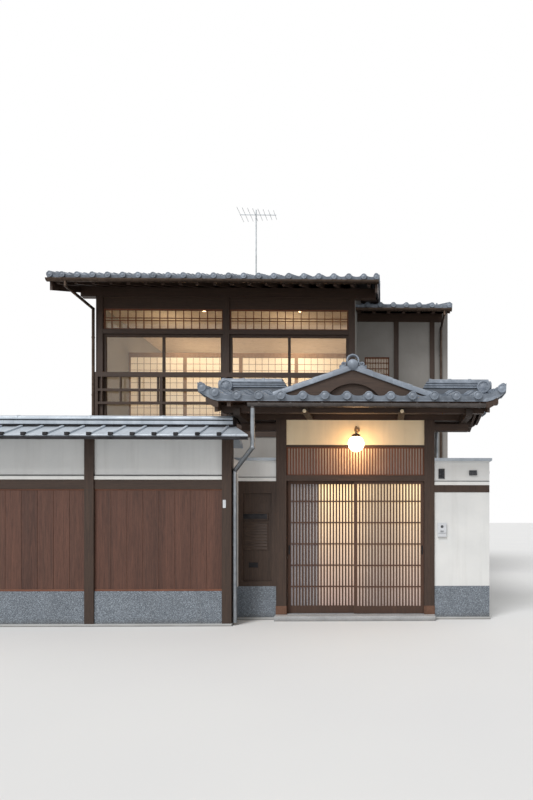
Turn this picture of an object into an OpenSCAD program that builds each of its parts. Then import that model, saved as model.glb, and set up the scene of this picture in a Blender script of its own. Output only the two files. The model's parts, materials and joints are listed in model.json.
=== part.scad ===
// Kyoto town house behind a tiled street wall and a roofed gate.
// Origin: on the ground, at the middle of the gate doorway, on the centre line of the gate posts.
// +X runs to the right as seen from the street, +Y runs from the street to the house, +Z is up.

/* [Gate] */
// Distance between the centres of the two gate posts
gate_bay = 1970; // [1700:10:2300]
// Side of a square gate post
gate_post = 135; // [120:5:160]
// Height of the doorway above its threshold
door_h = 1775; // [1650:5:1950]
// Height of the granite threshold above the ground
threshold_h = 65; // [40:5:120]
// Depth of the granite threshold, front to back
threshold_d = 400; // [300:10:500]
// Height of the grooved door lintel
lintel_h = 75; // [60:5:100]
// Height of the slatted panel over the lintel
slat_panel_h = 375; // [250:5:450]
// Height of the thin rail between slats and plaster
mid_rail_h = 30; // [20:5:50]
// Height of the plaster panel under the head beam
gate_plaster_h = 330; // [200:10:400]
// Height of the head beam
head_beam_h = 140; // [110:5:180]
// Depth of the head beam, front to back
head_beam_d = 110; // [90:5:130]
// Height of the bracket arms
arm_h = 90; // [70:5:110]
// Depth of the notches that seat the arms in the head beam
arm_notch = 40; // [20:5:50]
// Width of the bracket arms
arm_w = 80; // [60:5:95]
// Distance of each outer arm from the middle of the gate
outer_arm_x = 1430; // [1300:10:1600]

/* [Gate doors] */
// Thickness of a door leaf
leaf_t = 33; // [28:1:36]
// Distance between the two door tracks
track_pitch = 48; // [44:1:54]
// Width of a door stile
stile_w = 45; // [35:1:60]
// Height of the bottom rail of a leaf
leaf_foot_h = 100; // [70:5:140]
// Height of the top rail of a leaf
leaf_head_h = 50; // [35:5:70]
// Number of upright bars in a leaf
bar_count = 20; // [16:1:24]
// Width of an upright bar
bar_w = 20; // [14:1:24]
// Number of thin cross rails in a leaf
cross_count = 5; // [3:1:7]
// Height of a thin cross rail
cross_h = 9; // [6:1:14]
// Clearance of a door leaf from the posts and in its groove
door_gap = 5; // [5:0.5:7]
// Height of the metal door rails on the threshold
door_rail_h = 6; // [5:1:10]

/* [Gate roof] */
// Half of the roof's width, from the middle of the gate to its verge
gate_roof_half_w = 1840; // [1700:10:2000]
// Distance of each eave from the ridge
gate_eave = 750; // [650:10:850]
// Rise of the roof for each unit of run
gate_slope = 0.29; // [0.24:0.01:0.36]
// Rise of the roof's corners over the middle of the eave
corner_lift = 110; // [0:5:150]
// Length of each eave end over which the corner rises
corner_run = 440; // [300:10:500]
// Thickness of the tile layer
tile_t = 55; // [45:5:100]
// Thickness of the roof boards under the tiles
board_t = 15; // [12:1:24]
// Height of a gate rafter
gate_rafter_h = 55; // [45:5:70]
// Width of a gate rafter
gate_rafter_w = 45; // [35:5:60]
// Number of gate rafters
gate_rafter_count = 13; // [9:1:17]
// Distance of the eave purlins from the ridge
purlin_y = 500; // [420:10:580]
// Width of the eave purlins
purlin_w = 80; // [60:5:100]
// Height of the stacked ridge above the tiles
gate_ridge_h = 190; // [150:5:220]
// Half of the width of the front gable
gable_half_w = 860; // [700:10:950]
// Rise of the front gable for each unit of run
gable_slope = 0.355; // [0.3:0.005:0.42]
// Height of the front gable's peak over the roof's peak
gable_over = 190; // [120:5:220]
// Thickness of the front gable's tile layer
gable_tile_t = 70; // [50:5:90]
// Depth of the gable boards at the peak
gable_board_h = 165; // [120:5:200]

/* [Gate lamp and fittings] */
// Radius of the lamp globe
globe_r = 102; // [80:2:130]
// Height of the middle of the globe above the ground
globe_z = 2300; // [2250:10:2350]
// Distance of the globe in front of the gate's centre line
globe_y = 300; // [260:10:380]
// Outer radius of the half-round gutters
gutter_r = 42; // [35:1:50]
// Outer radius of the downpipes
pipe_r = 27; // [22:1:33]
// Outer radius of the gutters on the house
house_gutter_r = 50; // [40:2:60]

/* [Sleeve walls] */
// Outer end of the left sleeve wall, from the middle of the gate
sleeve_left_x = 1585; // [1450:5:1700]
// Outer end of the right sleeve wall, from the middle of the gate
sleeve_right_x = 1790; // [1600:5:1900]
// Height of the sleeve walls up to their coping
sleeve_h = 2145; // [2050:5:2250]
// Thickness of the sleeve walls
sleeve_t = 110; // [80:5:125]
// Height of the sleeve walls' washed-gravel plinth
sleeve_plinth_h = 440; // [350:5:550]
// Height of the lower edge of the sleeve walls' cross beam
sleeve_beam_z = 1690; // [1600:5:1750]
// Height of the sleeve walls' cross beam
sleeve_beam_h = 95; // [70:5:120]
// Height of the left sleeve wall's cross beam over the right one's
sleeve_beam_rise = 50; // [0:5:80]
// Thickness of the copings on the sleeve walls
coping_t = 35; // [25:5:50]
// Overhang of the copings past the sleeve walls
coping_lip = 30; // [20:5:45]

/* [Street wall] */
// Distance of the street wall's centre line in front of the gate
wall_y = 430; // [400:5:480]
// Distance between two street wall posts
wall_bay = 1700; // [1500:10:1900]
// Number of whole bays
wall_bays = 2; // [2:1:3]
// Side of a street wall post
wall_post = 115; // [100:5:130]
// Thickness of the street wall between its posts
wall_t = 60; // [50:5:80]
// Height of the street wall's plinth
wall_plinth_h = 433; // [350:1:520]
// Height of the boarding over the plinth
wall_board_h = 1273; // [1100:1:1400]
// Height of the rail over the boarding
wall_rail_h = 118; // [90:1:150]
// Height of the plaster over the rail
wall_plaster_h = 550; // [450:5:600]
// Height of the top plate
wall_plate_h = 60; // [45:5:80]
// Distance of the wall roof's eaves from its ridge
wall_eave = 420; // [360:5:460]
// Rise of the wall roof for each unit of run
wall_slope = 0.42; // [0.34:0.01:0.5]
// Thickness of the wall roof
wall_tile_t = 50; // [40:2:60]
// Height of the wall roof's ridge over its tiles
wall_ridge_h = 125; // [100:5:150]
// Overhang of the wall roof past its left end post
wall_verge = 120; // [80:10:160]
// Reach of the wall roof's ridge past its right end post, towards the gate
wall_ridge_end = 85; // [65:5:95]
// Reach of the wall roof's front eave past the end of its ridge
wall_eave_end = 270; // [150:10:290]
// Thickness of the garden walls between the street and the house
garden_wall_t = 100; // [80:5:120]
// Height of the garden walls under their copings
garden_wall_h = 1950; // [1700:10:2050]
// Height of the garden walls' copings
garden_coping_h = 90; // [70:5:110]

/* [House] */
// Distance of the front of the house behind the gate's centre line
house_y = 3134; // [2900:1:3600]
// Depth of the house from its front to its back wall
house_d = 5910; // [5400:10:6600]
// Left face of the house, from the middle of the gate
house_left_x = 5120; // [5050:5:5200]
// Right face of the projecting main block, left of the middle of the gate
main_right_x = 170; // [120:5:220]
// Right face of the set-back wing, right of the middle of the gate
wing_right_x = 1750; // [1600:10:1850]
// Set-back of the wing's front wall behind the main front
wing_back = 1016; // [900:2:1150]
// Distance of the wing's first post from the main block, face to centre
wing_post_1 = 828; // [760:1:900]
// Distance of the wing's second post from the main block, face to centre
wing_post_2 = 1590; // [1500:5:1650]
// Thickness of the house walls
house_wall_t = 120; // [100:5:150]
// Thickness of the plaster between the posts
infill_t = 80; // [60:5:90]
// Side of a house post
house_post = 125; // [120:1:140]
// Height of the stone plinth
house_plinth_h = 300; // [200:10:380]
// Height of the ground floor
floor_1_z = 450; // [400:5:520]
// Height of the upper floor
floor_2_z = 3100; // [3000:5:3200]
// Thickness of the floors and the ceiling
floor_t = 40; // [30:2:60]
// Height of the windows on both floors
window_h = 1715; // [1650:5:1750]
// Height of the lintel over the windows
window_lintel_h = 90; // [70:5:110]
// Height of the latticed transom over the upper windows
transom_h = 400; // [300:5:440]
// Height of the board between transom and eaves beam
fascia_h = 220; // [150:5:260]
// Height of the eaves beam
eaves_beam_h = 180; // [140:5:220]
// Height of the floor beam under the upper floor
floor_beam_h = 180; // [140:5:220]
// Height of the window sills above the floors
sill_h = 75; // [50:5:100]
// Depth of the window sashes, front to back
sash_t = 40; // [30:2:50]
// Width of the sashes' stiles and rails
sash_w = 48; // [35:1:60]
// Thickness of the window glass
glass_t = 6; // [4:1:8]
// Width of the windows in the back wall
back_window_w = 1500; // [1200:50:1700]
// Height of the windows in the back wall
back_window_h = 1100; // [900:50:1300]
// Width of the back door
back_door_w = 800; // [700:10:900]
// Height of the doors of the house
house_door_h = 1800; // [1700:10:1850]
// Drop of the wing's eaves beam under the main one
wing_drop = 78; // [50:1:120]

/* [House roof] */
// Distance of the main eaves in front of the house walls
main_eave = 900; // [750:10:1000]
// Distance of the wing's front eave in front of its wall
wing_eave = 650; // [500:10:700]
// Rise of the house roofs for each unit of run
house_slope = 0.38; // [0.34:0.01:0.4]
// Outward bow of the main roof's slopes
roof_bow = 35; // [0:5:60]
// Overhang of the main roof past its left wall
verge_left = 360; // [250:10:450]
// Overhang of the main roof past its right wall
verge_right = 470; // [300:10:500]
// Height of a house rafter
rafter_h = 80; // [50:5:95]
// Width of a house rafter
rafter_w = 55; // [45:5:70]
// Number of rafters on the main block
rafter_count = 19; // [15:1:24]
// Number of rafters on the wing
wing_rafter_count = 7; // [5:1:9]
// Height of the main ridge over its tiles
main_ridge_h = 235; // [160:5:260]
// Height of the wing's ridge over its tiles
wing_ridge_h = 90; // [80:5:110]

/* [House front] */
// Number of upright bars in a transom lattice
transom_bars = 14; // [10:1:18]
// Height of the railing's top above the upper floor
railing_z = 1042; // [950:2:1100]
// Distance of the inner paper screens behind the front windows
screen_back = 950; // [850:10:980]
// Height of the aerial's top above the main ridge
aerial_h = 1700; // [1200:50:2200]

/* [Hidden] */
$fn = 48;

wood = "#4a3328";
wood_red = "#6e4331";
tile = "#7d8790";
plaster = "#e6dec9";
clay = "#a99a92";
gravel = "#9a9a98";
bronze = "#6b5640";
glass = "#cfe0e6";

// Levels of the gate
lintel_z = threshold_h + door_h;
slat_z = lintel_z + lintel_h;
mid_rail_z = slat_z + slat_panel_h;
gate_plaster_z = mid_rail_z + mid_rail_h;
head_z = gate_plaster_z + gate_plaster_h;
ridge_beam_z = head_z + head_beam_h;
ridge_beam_h = 90;
gate_rafter_peak = ridge_beam_z + ridge_beam_h + gate_slope * head_beam_d / 2;
gate_board_peak = gate_rafter_peak + gate_rafter_h;
gate_tile_peak = gate_board_peak + board_t;
gate_top_peak = gate_tile_peak + tile_t;
gable_top_peak = gate_top_peak + gable_over;
gable_under_peak = gable_top_peak - gable_tile_t;

// Lines of the gate
post_in = (gate_bay - gate_post) / 2;
post_out = (gate_bay + gate_post) / 2;
panel_t = 50;
inner_arm_x = 600;
gate_tip = 180;
gate_board_x = gate_roof_half_w - gate_tip;
verge_board_t = 35;
verge_board_h = 120;
rafter_end = 30;
gate_rafter_reach = gate_eave - rafter_end;
gate_ridge_w = 240;
gable_front_y = gate_eave - 40;
gable_board_y = gable_front_y - 20;
gable_board_t = 40;
pediment_t = 25;
finial_t = 50;
finial_boss_t = 25;
arm_z = head_z + arm_notch - arm_h;

// Door leaves
groove_d = 15;
rail_rest = 0.3;
leaf_w = post_in - door_gap + stile_w / 2;
leaf_z = threshold_h + door_rail_h + rail_rest;
leaf_h = lintel_z + groove_d - door_gap - leaf_z;
lattice_t = 14;
pane_t = 4;
pane_set = 18;
slat_count = 48;
slat_w = 21;

// Street wall
wall_board_z = wall_plinth_h;
wall_rail_z = wall_board_z + wall_board_h;
wall_plaster_z = wall_rail_z + wall_rail_h;
wall_plate_z = wall_plaster_z + wall_plaster_h;
wall_plate_w = 90;
wall_roof_peak = wall_plate_z + wall_plate_h + wall_slope * wall_plate_w / 2;
wall_left_x = -(sleeve_left_x + wall_bays * wall_bay);
sleeve_top = sleeve_h - coping_t;

// House lines
left_x = -house_left_x;
right_x = -main_right_x;
mid_x = (left_x + right_x) / 2;
wing_y = house_y + wing_back;
back_y = house_y + house_d;
wing_back_y = back_y - wing_back;
ridge_y = house_y + house_d / 2;
front_in = house_y + house_post;
infill_y = (house_post - infill_t) / 2;

// House levels
sill_1_z = floor_1_z + sill_h;
sill_2_z = floor_2_z + sill_h;
lintel_1_z = sill_1_z + window_h;
lintel_2_z = sill_2_z + window_h;
band_1_z = lintel_1_z + window_lintel_h;
floor_beam_z = floor_2_z - floor_beam_h;
transom_z = lintel_2_z + window_lintel_h;
fascia_z = transom_z + transom_h;
eaves_z = fascia_z + fascia_h;
main_wall_top = eaves_z + eaves_beam_h;
wing_wall_top = main_wall_top - wing_drop;
wing_eaves_z = wing_wall_top - eaves_beam_h;
ceiling_z = fascia_z + 20;
main_peak = main_wall_top + house_slope * house_d / 2;
wing_run = ridge_y - wing_y;
wing_peak = wing_wall_top + house_slope * wing_run;
main_reach = house_d / 2 + main_eave;
wing_reach = wing_run + wing_eave;
main_roof_left = left_x - verge_left;
main_roof_right = right_x + verge_right;
door_lintel_z = floor_1_z + house_door_h;

// Half of the joint between two rafters that meet on a ridge beam
ridge_joint = 2;
// Bed between a ridge and the tiles under it
ridge_bed = 0.1;

// A box between two corners
module slab(a, b) translate(a) cube(b - a);

// A profile drawn in Y and Z, run along X from x0 to x1
module along_x(x0, x1) translate([x0, 0, 0]) rotate([90, 0, 90]) linear_extrude(x1 - x0) children();

// A profile drawn in X and Z, run along Y from y0 to y1
module along_y(y0, y1) translate([0, y1, 0]) rotate([90, 0, 0]) linear_extrude(y1 - y0) children();

// A roof layer of vertical thickness t, its underside falling each way from a peak at 0
function chevron(peak, slope, reach, t) = [
    [-reach, peak - slope * reach], [0, peak], [reach, peak - slope * reach],
    [reach, peak - slope * reach + t], [0, peak + t], [-reach, peak - slope * reach + t]
];

// One slope of such a layer, on the side -1 or 1, that stops just short of the ridge line
function half_chevron(side, peak, slope, reach, t) = [
    [side * ridge_joint, peak - slope * ridge_joint], [side * reach, peak - slope * reach],
    [side * reach, peak - slope * reach + t], [side * ridge_joint, peak - slope * ridge_joint + t]
];

// All that lies under a roof surface
function under_roof(peak, slope, reach) = [
    [-reach, peak - slope * reach], [0, peak], [reach, peak - slope * reach], [reach, 0], [-reach, 0]
];

// Evenly spaced places from a to b
function spread(a, b, n) = [for (i = [0 : n - 1]) a + (b - a) * i / (n - 1)];

// A cylinder from point a to point b
module rod(a, b, r) {
    d = b - a;
    translate(a)
        rotate([0, acos(d.z / norm(d)), atan2(d.y, d.x)])
            cylinder(r = r, h = norm(d));
}

// A frame in X and Z with panes between its stiles
module pane_frame(w, h, panes, stile, rail) difference() {
    square([w, h]);
    pitch = (w - stile) / panes;
    for (i = [0 : panes - 1])
        translate([stile + i * pitch, rail]) square([pitch - stile, h - 2 * rail]);
}

module gate_threshold() color(gravel)
    slab([-post_out, -threshold_d / 2, 0], [post_out, threshold_d / 2, threshold_h]);

door_rail_w = 8;

module gate_door_rails() color("silver")
    for (y = [-1, 1] * track_pitch / 2)
        slab([-post_in, y - door_rail_w / 2, threshold_h],
             [post_in, y + door_rail_w / 2, threshold_h + door_rail_h]);

module gate_posts() color(wood)
    for (side = [-1, 1])
        translate([side * gate_bay / 2 - gate_post / 2, -gate_post / 2, threshold_h])
            cube([gate_post, gate_post, head_z - threshold_h]);

side_beam_x = outer_arm_x + arm_w;

module gate_beams() color(wood) {
    difference() {
        slab([-post_in, -gate_post / 2, lintel_z], [post_in, gate_post / 2, slat_z]);
        for (y = [-1, 1] * track_pitch / 2)
            slab([-post_in - 1, y - leaf_t / 2 - door_gap, lintel_z - 1],
                 [post_in + 1, y + leaf_t / 2 + door_gap, lintel_z + groove_d]);
    }
    slab([-post_in, -panel_t, mid_rail_z], [post_in, panel_t, gate_plaster_z]);
    difference() {
        slab([-side_beam_x, -head_beam_d / 2, head_z], [side_beam_x, head_beam_d / 2, ridge_beam_z]);
        arm_notches();
    }
    for (side = [-1, 1])
        translate([side > 0 ? post_out : -side_beam_x, -head_beam_d / 2, arm_z - arm_h])
            cube([side_beam_x - post_out, head_beam_d, arm_h]);
}

arm_reach = purlin_y + purlin_w / 2 + 60;
arm_xs = [-outer_arm_x, -inner_arm_x, inner_arm_x, outer_arm_x];

// Arm with its nose rounded up at both ends
module gate_arm(x) along_x(x - arm_w / 2, x + arm_w / 2) hull() {
    translate([-arm_reach, arm_z + arm_h / 2]) square([2 * arm_reach, arm_h / 2]);
    for (side = [-1, 1])
        translate([side * (arm_reach - arm_h / 2), arm_z + arm_h / 2]) circle(r = arm_h / 2);
}

module gate_arms() color(wood_red)
    for (x = arm_xs) gate_arm(x);

// Notches in the beams that sit over the arms
module arm_notches()
    for (x = arm_xs)
        slab([x - arm_w / 2, -arm_reach, head_z - 1], [x + arm_w / 2, arm_reach, arm_z + arm_h]);

module gate_purlins() color(wood) {
    reach = gate_board_x - verge_board_t;
    for (side = [-1, 1])
        difference() {
            along_x(-reach, reach) intersection() {
                polygon(under_roof(gate_rafter_peak, gate_slope, gate_eave));
                translate([side * purlin_y - purlin_w / 2, head_z]) square([purlin_w, 2 * head_beam_h]);
            }
            arm_notches();
        }
    along_x(-reach, reach) intersection() {
        polygon(under_roof(gate_rafter_peak, gate_slope, gate_eave));
        translate([-head_beam_d / 2, ridge_beam_z]) square([head_beam_d, 2 * ridge_beam_h]);
    }
}

slat_rail_h = 14;
slat_t = 16;
transom_y = -30;

module gate_transom() color(wood_red)
    translate([-post_in, 0, slat_z]) along_y(transom_y, transom_y + slat_t)
        pane_frame(2 * post_in, slat_panel_h, slat_count, slat_w, slat_rail_h);

module gate_transom_pane() color(glass)
    slab([-post_in, transom_y + slat_t, slat_z], [post_in, transom_y + slat_t + pane_t, mid_rail_z]);

module gate_rafters() color(wood) {
    edge = gate_board_x - verge_board_t - gate_rafter_w * 3;
    for (x = spread(-edge, edge, gate_rafter_count), half = [-1, 1])
        along_x(x - gate_rafter_w / 2, x + gate_rafter_w / 2)
            polygon(half_chevron(half, gate_rafter_peak, gate_slope, gate_rafter_reach, gate_rafter_h));
    for (x = [-gate_board_x, gate_board_x - verge_board_t], half = [-1, 1])
        along_x(x, x + verge_board_t)
            polygon(half_chevron(half, gate_board_peak - verge_board_h, gate_slope,
                                 gate_rafter_reach, verge_board_h));
}

module gate_roof_boards() color(wood)
    along_x(-gate_board_x, gate_board_x)
        polygon(chevron(gate_board_peak, gate_slope, gate_eave - rafter_end / 2, board_t));

// Rise of the tiles' top and underside towards the corners of the gate roof, outside its ridge
function corner_part(x, run) = max(0, abs(x) - (gate_roof_half_w - run)) / run;
function eave_part(y) = max(0, abs(y) - gate_ridge_w / 2) / (gate_eave - gate_ridge_w / 2);
function gate_top(x, y) = gate_top_peak - gate_slope * abs(y)
    + corner_lift * pow(corner_part(x, corner_run) * eave_part(y), 2);
function gate_under(x, y) = gate_tile_peak - gate_slope * abs(y)
    + corner_lift * corner_part(x, gate_tip) * pow(eave_part(y), 2);

corner_steps = 6;
eave_steps = 5;

module gate_roof() color(tile) {
    flat_x = gate_roof_half_w - corner_run;
    right_xs = [for (i = [0 : corner_steps]) flat_x + corner_run * i / corner_steps];
    xs = concat([for (i = [0 : corner_steps]) -right_xs[corner_steps - i]], right_xs);
    far_ys = spread(gate_ridge_w / 2, gate_eave, eave_steps + 1);
    ys = concat([for (j = [0 : eave_steps]) -far_ys[eave_steps - j]], [0], far_ys);
    nx = len(xs);
    ny = len(ys);
    n = nx * ny;
    points = concat(
        [for (x = xs, y = ys) [x, y, gate_top(x, y)]],
        [for (x = xs, y = ys) [x, y, gate_under(x, y)]]
    );
    top = [for (i = [0 : nx - 2], j = [0 : ny - 2]) each [
        [i * ny + j, i * ny + j + 1, (i + 1) * ny + j + 1],
        [i * ny + j, (i + 1) * ny + j + 1, (i + 1) * ny + j]
    ]];
    under = [for (f = top) [f[2] + n, f[1] + n, f[0] + n]];
    ends = [for (j = [0 : ny - 2], i = [0, nx - 1]) let (a = i * ny + j, b = a + 1)
        each i == 0 ? [[a, a + n, b + n], [a, b + n, b]] : [[a, b, b + n], [a, b + n, a + n]]];
    eaves = [for (i = [0 : nx - 2], j = [0, ny - 1]) let (a = i * ny + j, b = a + ny)
        each j == 0 ? [[a, b, b + n], [a, b + n, a + n]] : [[a, a + n, b + n], [a, b + n, b]]];
    polyhedron(points = points, faces = concat(top, under, ends, eaves));
}

// Stacked ridge tiles under a round cap, seated astride a roof that peaks at 0
module ridge_profile(w, h, slope, layers) {
    cap_r = min(w * 0.3, h * 0.5);
    layer_h = (h - cap_r) / layers;
    step = (w / 2 - cap_r) / (layers + 1);
    seat = slope * w / 2;
    difference() {
        union() {
            translate([-w / 2, -seat]) square([w, seat + layer_h]);
            for (i = [0 : layers - 1])
                translate([-w / 2 + step * i, 0]) square([w - 2 * step * i, layer_h * (i + 1)]);
            translate([0, h - cap_r]) circle(r = cap_r);
        }
        polygon([[-w, -slope * w], [0, 0], [w, -slope * w]]);
    }
}

gate_ridge_x = gate_roof_half_w - 60;
gate_ridge_foot = gable_half_w + 30;
gate_ridge_slant = 90;
gable_ridge_w = 150;
gable_ridge_h = 60;

// The ridge lies in two lengths, each cut to a slant where it meets the gable, which crosses between them
module gate_ridges() color(tile) {
    for (side = [0, 1]) mirror([side, 0, 0]) translate([0, 0, gate_top_peak + ridge_bed]) difference() {
        along_x(gate_ridge_foot, gate_ridge_x) ridge_profile(gate_ridge_w, gate_ridge_h, gate_slope, 3);
        along_y(-gate_ridge_w, gate_ridge_w) translate([gate_ridge_foot, 0])
            polygon([[-1, 0], [0, 0], [gate_ridge_slant, gate_ridge_h], [gate_ridge_slant, gate_ridge_h + 1],
                     [-1, gate_ridge_h + 1]]);
    }
    translate([0, 0, gable_top_peak + ridge_bed])
        along_y(finial_t - gable_front_y, gable_front_y - finial_t)
            ridge_profile(gable_ridge_w, gable_ridge_h, gable_slope, 1);
}

module under_gate_tiles() along_x(-gate_roof_half_w, gate_roof_half_w)
    polygon(under_roof(gate_top_peak, gate_slope, gate_eave + 100));

module gate_gable_roof() color(tile)
    difference() {
        along_y(-gable_front_y, gable_front_y)
            polygon(chevron(gable_under_peak, gable_slope, gable_half_w + 100, gable_tile_t));
        under_gate_tiles();
    }

arch_half_w = 320;
arch_base = gate_top_peak - gate_slope * gable_board_y;
arch_h = max(20, gable_under_peak - gable_board_h - arch_base);
arch_r = (pow(arch_half_w, 2) + pow(arch_h, 2)) / (2 * arch_h);

module gate_gable_front() color(wood)
    for (side = [0, 1]) mirror([0, side, 0]) difference() {
        union() {
            along_y(-gable_board_y, gable_board_t - gable_board_y) difference() {
                polygon(under_roof(gable_under_peak, gable_slope, gable_half_w));
                translate([0, arch_base + arch_h - arch_r]) circle(r = arch_r, $fn = 96);
            }
            along_y(gable_board_t - gable_board_y, gable_board_t + pediment_t - gable_board_y)
                polygon(under_roof(gable_under_peak, gable_slope, gable_half_w));
        }
        under_gate_tiles();
    }

disc_r = 62;
ring_r = 125;
ring_w = 34;
curl_r = 38;

// Ridge-end tile: a round boss inside an arched ring with a curl at each foot
module ridge_end_tile(slope) difference() {
    union() {
        circle(r = disc_r);
        difference() {
            circle(r = ring_r);
            circle(r = ring_r - ring_w);
            translate([-ring_r, -2 * ring_r]) square([2 * ring_r, 2 * ring_r]);
        }
        for (side = [-1, 1])
            translate([side * (ring_r - ring_w / 2), 0]) circle(r = curl_r);
        translate([-ring_r, -ring_w]) square([2 * ring_r, ring_w]);
        translate([-ring_w / 2, 0]) square([ring_w, ring_r - ring_w / 2]);
    }
    translate([0, -finial_rise - 3 * ring_r]) polygon(under_roof(3 * ring_r, slope, 3 * ring_r));
}

finial_rise = 5;
ridge_disc_r = 78;
ridge_disc_t = 40;
scroll_r = 85;
scroll_t = 18;
scroll_rise = 60;

module gate_ridge_ends() color(tile) {
    for (side = [0, 1]) mirror([0, side, 0]) translate([0, 0, gable_top_peak + finial_rise]) {
        along_y(-gable_front_y, finial_t - gable_front_y) ridge_end_tile(gable_slope);
        along_y(-gable_front_y - finial_boss_t, -gable_front_y) circle(r = disc_r);
    }
    for (x = [-gate_ridge_x - ridge_disc_t, gate_ridge_x])
        translate([x, 0, gate_top_peak + ridge_disc_r + 10])
            rotate([0, 90, 0]) cylinder(r = ridge_disc_r, h = ridge_disc_t);
    for (x = [scroll_r - gate_ridge_x, gate_ridge_x - scroll_r],
         y = [-gate_ridge_w / 2 - scroll_t, gate_ridge_w / 2])
        translate([x, 0, gate_top_peak + scroll_rise]) along_y(y, y + scroll_t) circle(r = scroll_r);
}

// Lattice leaf, its left lower front corner at the origin
module door_leaf() {
    inner_h = leaf_h - leaf_foot_h - leaf_head_h;
    inner_w = leaf_w - 2 * stile_w;
    along_y(0, leaf_t) difference() {
        square([leaf_w, leaf_h]);
        translate([stile_w, leaf_foot_h]) square([inner_w, inner_h]);
    }
    pitch = (inner_w + bar_w) / (bar_count + 1);
    translate([stile_w, 0, leaf_foot_h]) along_y(0, lattice_t) {
        for (i = [1 : bar_count])
            translate([pitch * i - bar_w, 0]) square([bar_w, inner_h]);
        for (i = [1 : cross_count])
            translate([0, inner_h * (i - 0.15) / (cross_count + 0.7) + cross_h]) square([inner_w, cross_h]);
    }
}

module leaf_pane()
    slab([stile_w, pane_set, leaf_foot_h],
         [leaf_w - stile_w, pane_set + pane_t, leaf_h - leaf_head_h]);

left_leaf_at = [door_gap - post_in, (track_pitch - leaf_t) / 2, leaf_z];
right_leaf_at = [-stile_w / 2, (-track_pitch - leaf_t) / 2, leaf_z];

module gate_door_left() color(wood) translate(left_leaf_at) door_leaf();
module gate_door_right() color(wood) translate(right_leaf_at) door_leaf();
module gate_door_left_pane() color(glass) translate(left_leaf_at) leaf_pane();
module gate_door_right_pane() color(glass) translate(right_leaf_at) leaf_pane();

lamp_x = 20;
lamp_arm_z = gate_plaster_z + gate_plaster_h * 0.6;
lamp_arm_r = 8;
lamp_plate_r = 38;
lamp_plate_t = 12;
cap_r = 62;
cap_h = 48;
neck_drop = 16;

module gate_lamp() color(bronze) {
    translate([lamp_x, -panel_t - lamp_plate_t, lamp_arm_z])
        rotate([-90, 0, 0]) cylinder(r = lamp_plate_r, h = lamp_plate_t);
    rod([lamp_x, -panel_t - lamp_plate_t + 1, lamp_arm_z], [lamp_x, -globe_y, lamp_arm_z], lamp_arm_r);
    translate([lamp_x, -globe_y, 0]) {
        translate([0, 0, lamp_arm_z]) sphere(r = 1.4 * lamp_arm_r);
        cap_z = globe_z + globe_r - neck_drop;
        translate([0, 0, cap_z + cap_h - 2]) cylinder(r = lamp_arm_r, h = lamp_arm_z - cap_z - cap_h + 2);
        difference() {
            translate([0, 0, cap_z]) rotate_extrude() intersection() {
                scale([cap_r, cap_h]) circle(r = 1, $fn = 48);
                square([cap_r, cap_h]);
            }
            translate([0, 0, globe_z]) sphere(r = globe_r);
        }
    }
}

module gate_lamp_globe() color("#fff0c8")
    translate([lamp_x, -globe_y, globe_z]) sphere(r = globe_r);

gutter_wall = 3;
gutter_left_x = 1250;
gutter_right_x = 1600;
gate_gutter_y = gate_rafter_reach + gutter_r;
gutter_z = gate_rafter_peak - gate_slope * gate_rafter_reach + gate_rafter_h / 2;
front_pipe_x = -gutter_left_x + pipe_r + 30;
rear_pipe_x = post_out + sleeve_t;
pipe_bend_z = 2190;
pipe_fall = 250;
pipe_foot_z = 30;
elbow_lip = 3;
pipe_side_x = -(sleeve_left_x - wall_post / 2 - pipe_r - elbow_lip);

// Half-round gutter of radius r from x0 to x1, its rim at height z, with the pipes that hang from it
module gutter(x0, x1, y, z, r) {
    difference() {
        union() {
            translate([0, y, z]) along_x(x0, x1) difference() {
                circle(r = r);
                translate([-r, 0]) square([2 * r, r]);
            }
            children();
        }
        translate([0, y, z]) along_x(x0 + gutter_wall, x1 - gutter_wall) circle(r = r - gutter_wall);
    }
}

// Pipe through a list of points, with a wider ball for the elbow at each bend
module pipe_run(points) {
    for (i = [0 : len(points) - 2]) rod(points[i], points[i + 1], pipe_r);
    for (i = [1 : len(points) - 2]) translate(points[i]) sphere(r = pipe_r + elbow_lip);
}

module gate_gutters() color(bronze) {
    outlet = gutter_z - gutter_r / 2;
    gutter(-gutter_left_x, gutter_right_x, -gate_gutter_y, gutter_z, gutter_r) pipe_run([
        [front_pipe_x, -gate_gutter_y, outlet],
        [front_pipe_x, -gate_gutter_y, pipe_bend_z],
        [pipe_side_x, -wall_y, pipe_bend_z - pipe_fall],
        [pipe_side_x, -wall_y, pipe_foot_z]
    ]);
    gutter(-gutter_left_x, gutter_right_x, gate_gutter_y, gutter_z, gutter_r) pipe_run([
        [rear_pipe_x, gate_gutter_y, outlet], [rear_pipe_x, gate_gutter_y, pipe_foot_z]
    ]);
}

// Walls beside the gate and along the street
left_sleeve_in = -(sleeve_left_x - wall_t / 2);
left_beam_z = sleeve_beam_z + sleeve_beam_rise;
panel_post_w = 60;
panel_inset = 35;
return_y0 = -wall_y + wall_post / 2;

module bay_boxes(z0, z1, t)
    for (i = [0 : wall_bays - 1])
        slab([wall_left_x + i * wall_bay + wall_post / 2, -wall_y - t / 2, z0],
             [wall_left_x + (i + 1) * wall_bay - wall_post / 2, -wall_y + t / 2, z1]);

module return_box(z0, z1)
    slab([left_sleeve_in - wall_t, return_y0, z0], [left_sleeve_in, sleeve_t / 2, z1]);

module left_sleeve_box(z0, z1, t) slab([left_sleeve_in, -t / 2, z0], [-post_out, t / 2, z1]);
module right_sleeve_box(z0, z1, t) slab([post_out, -t / 2, z0], [sleeve_right_x, t / 2, z1]);

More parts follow.
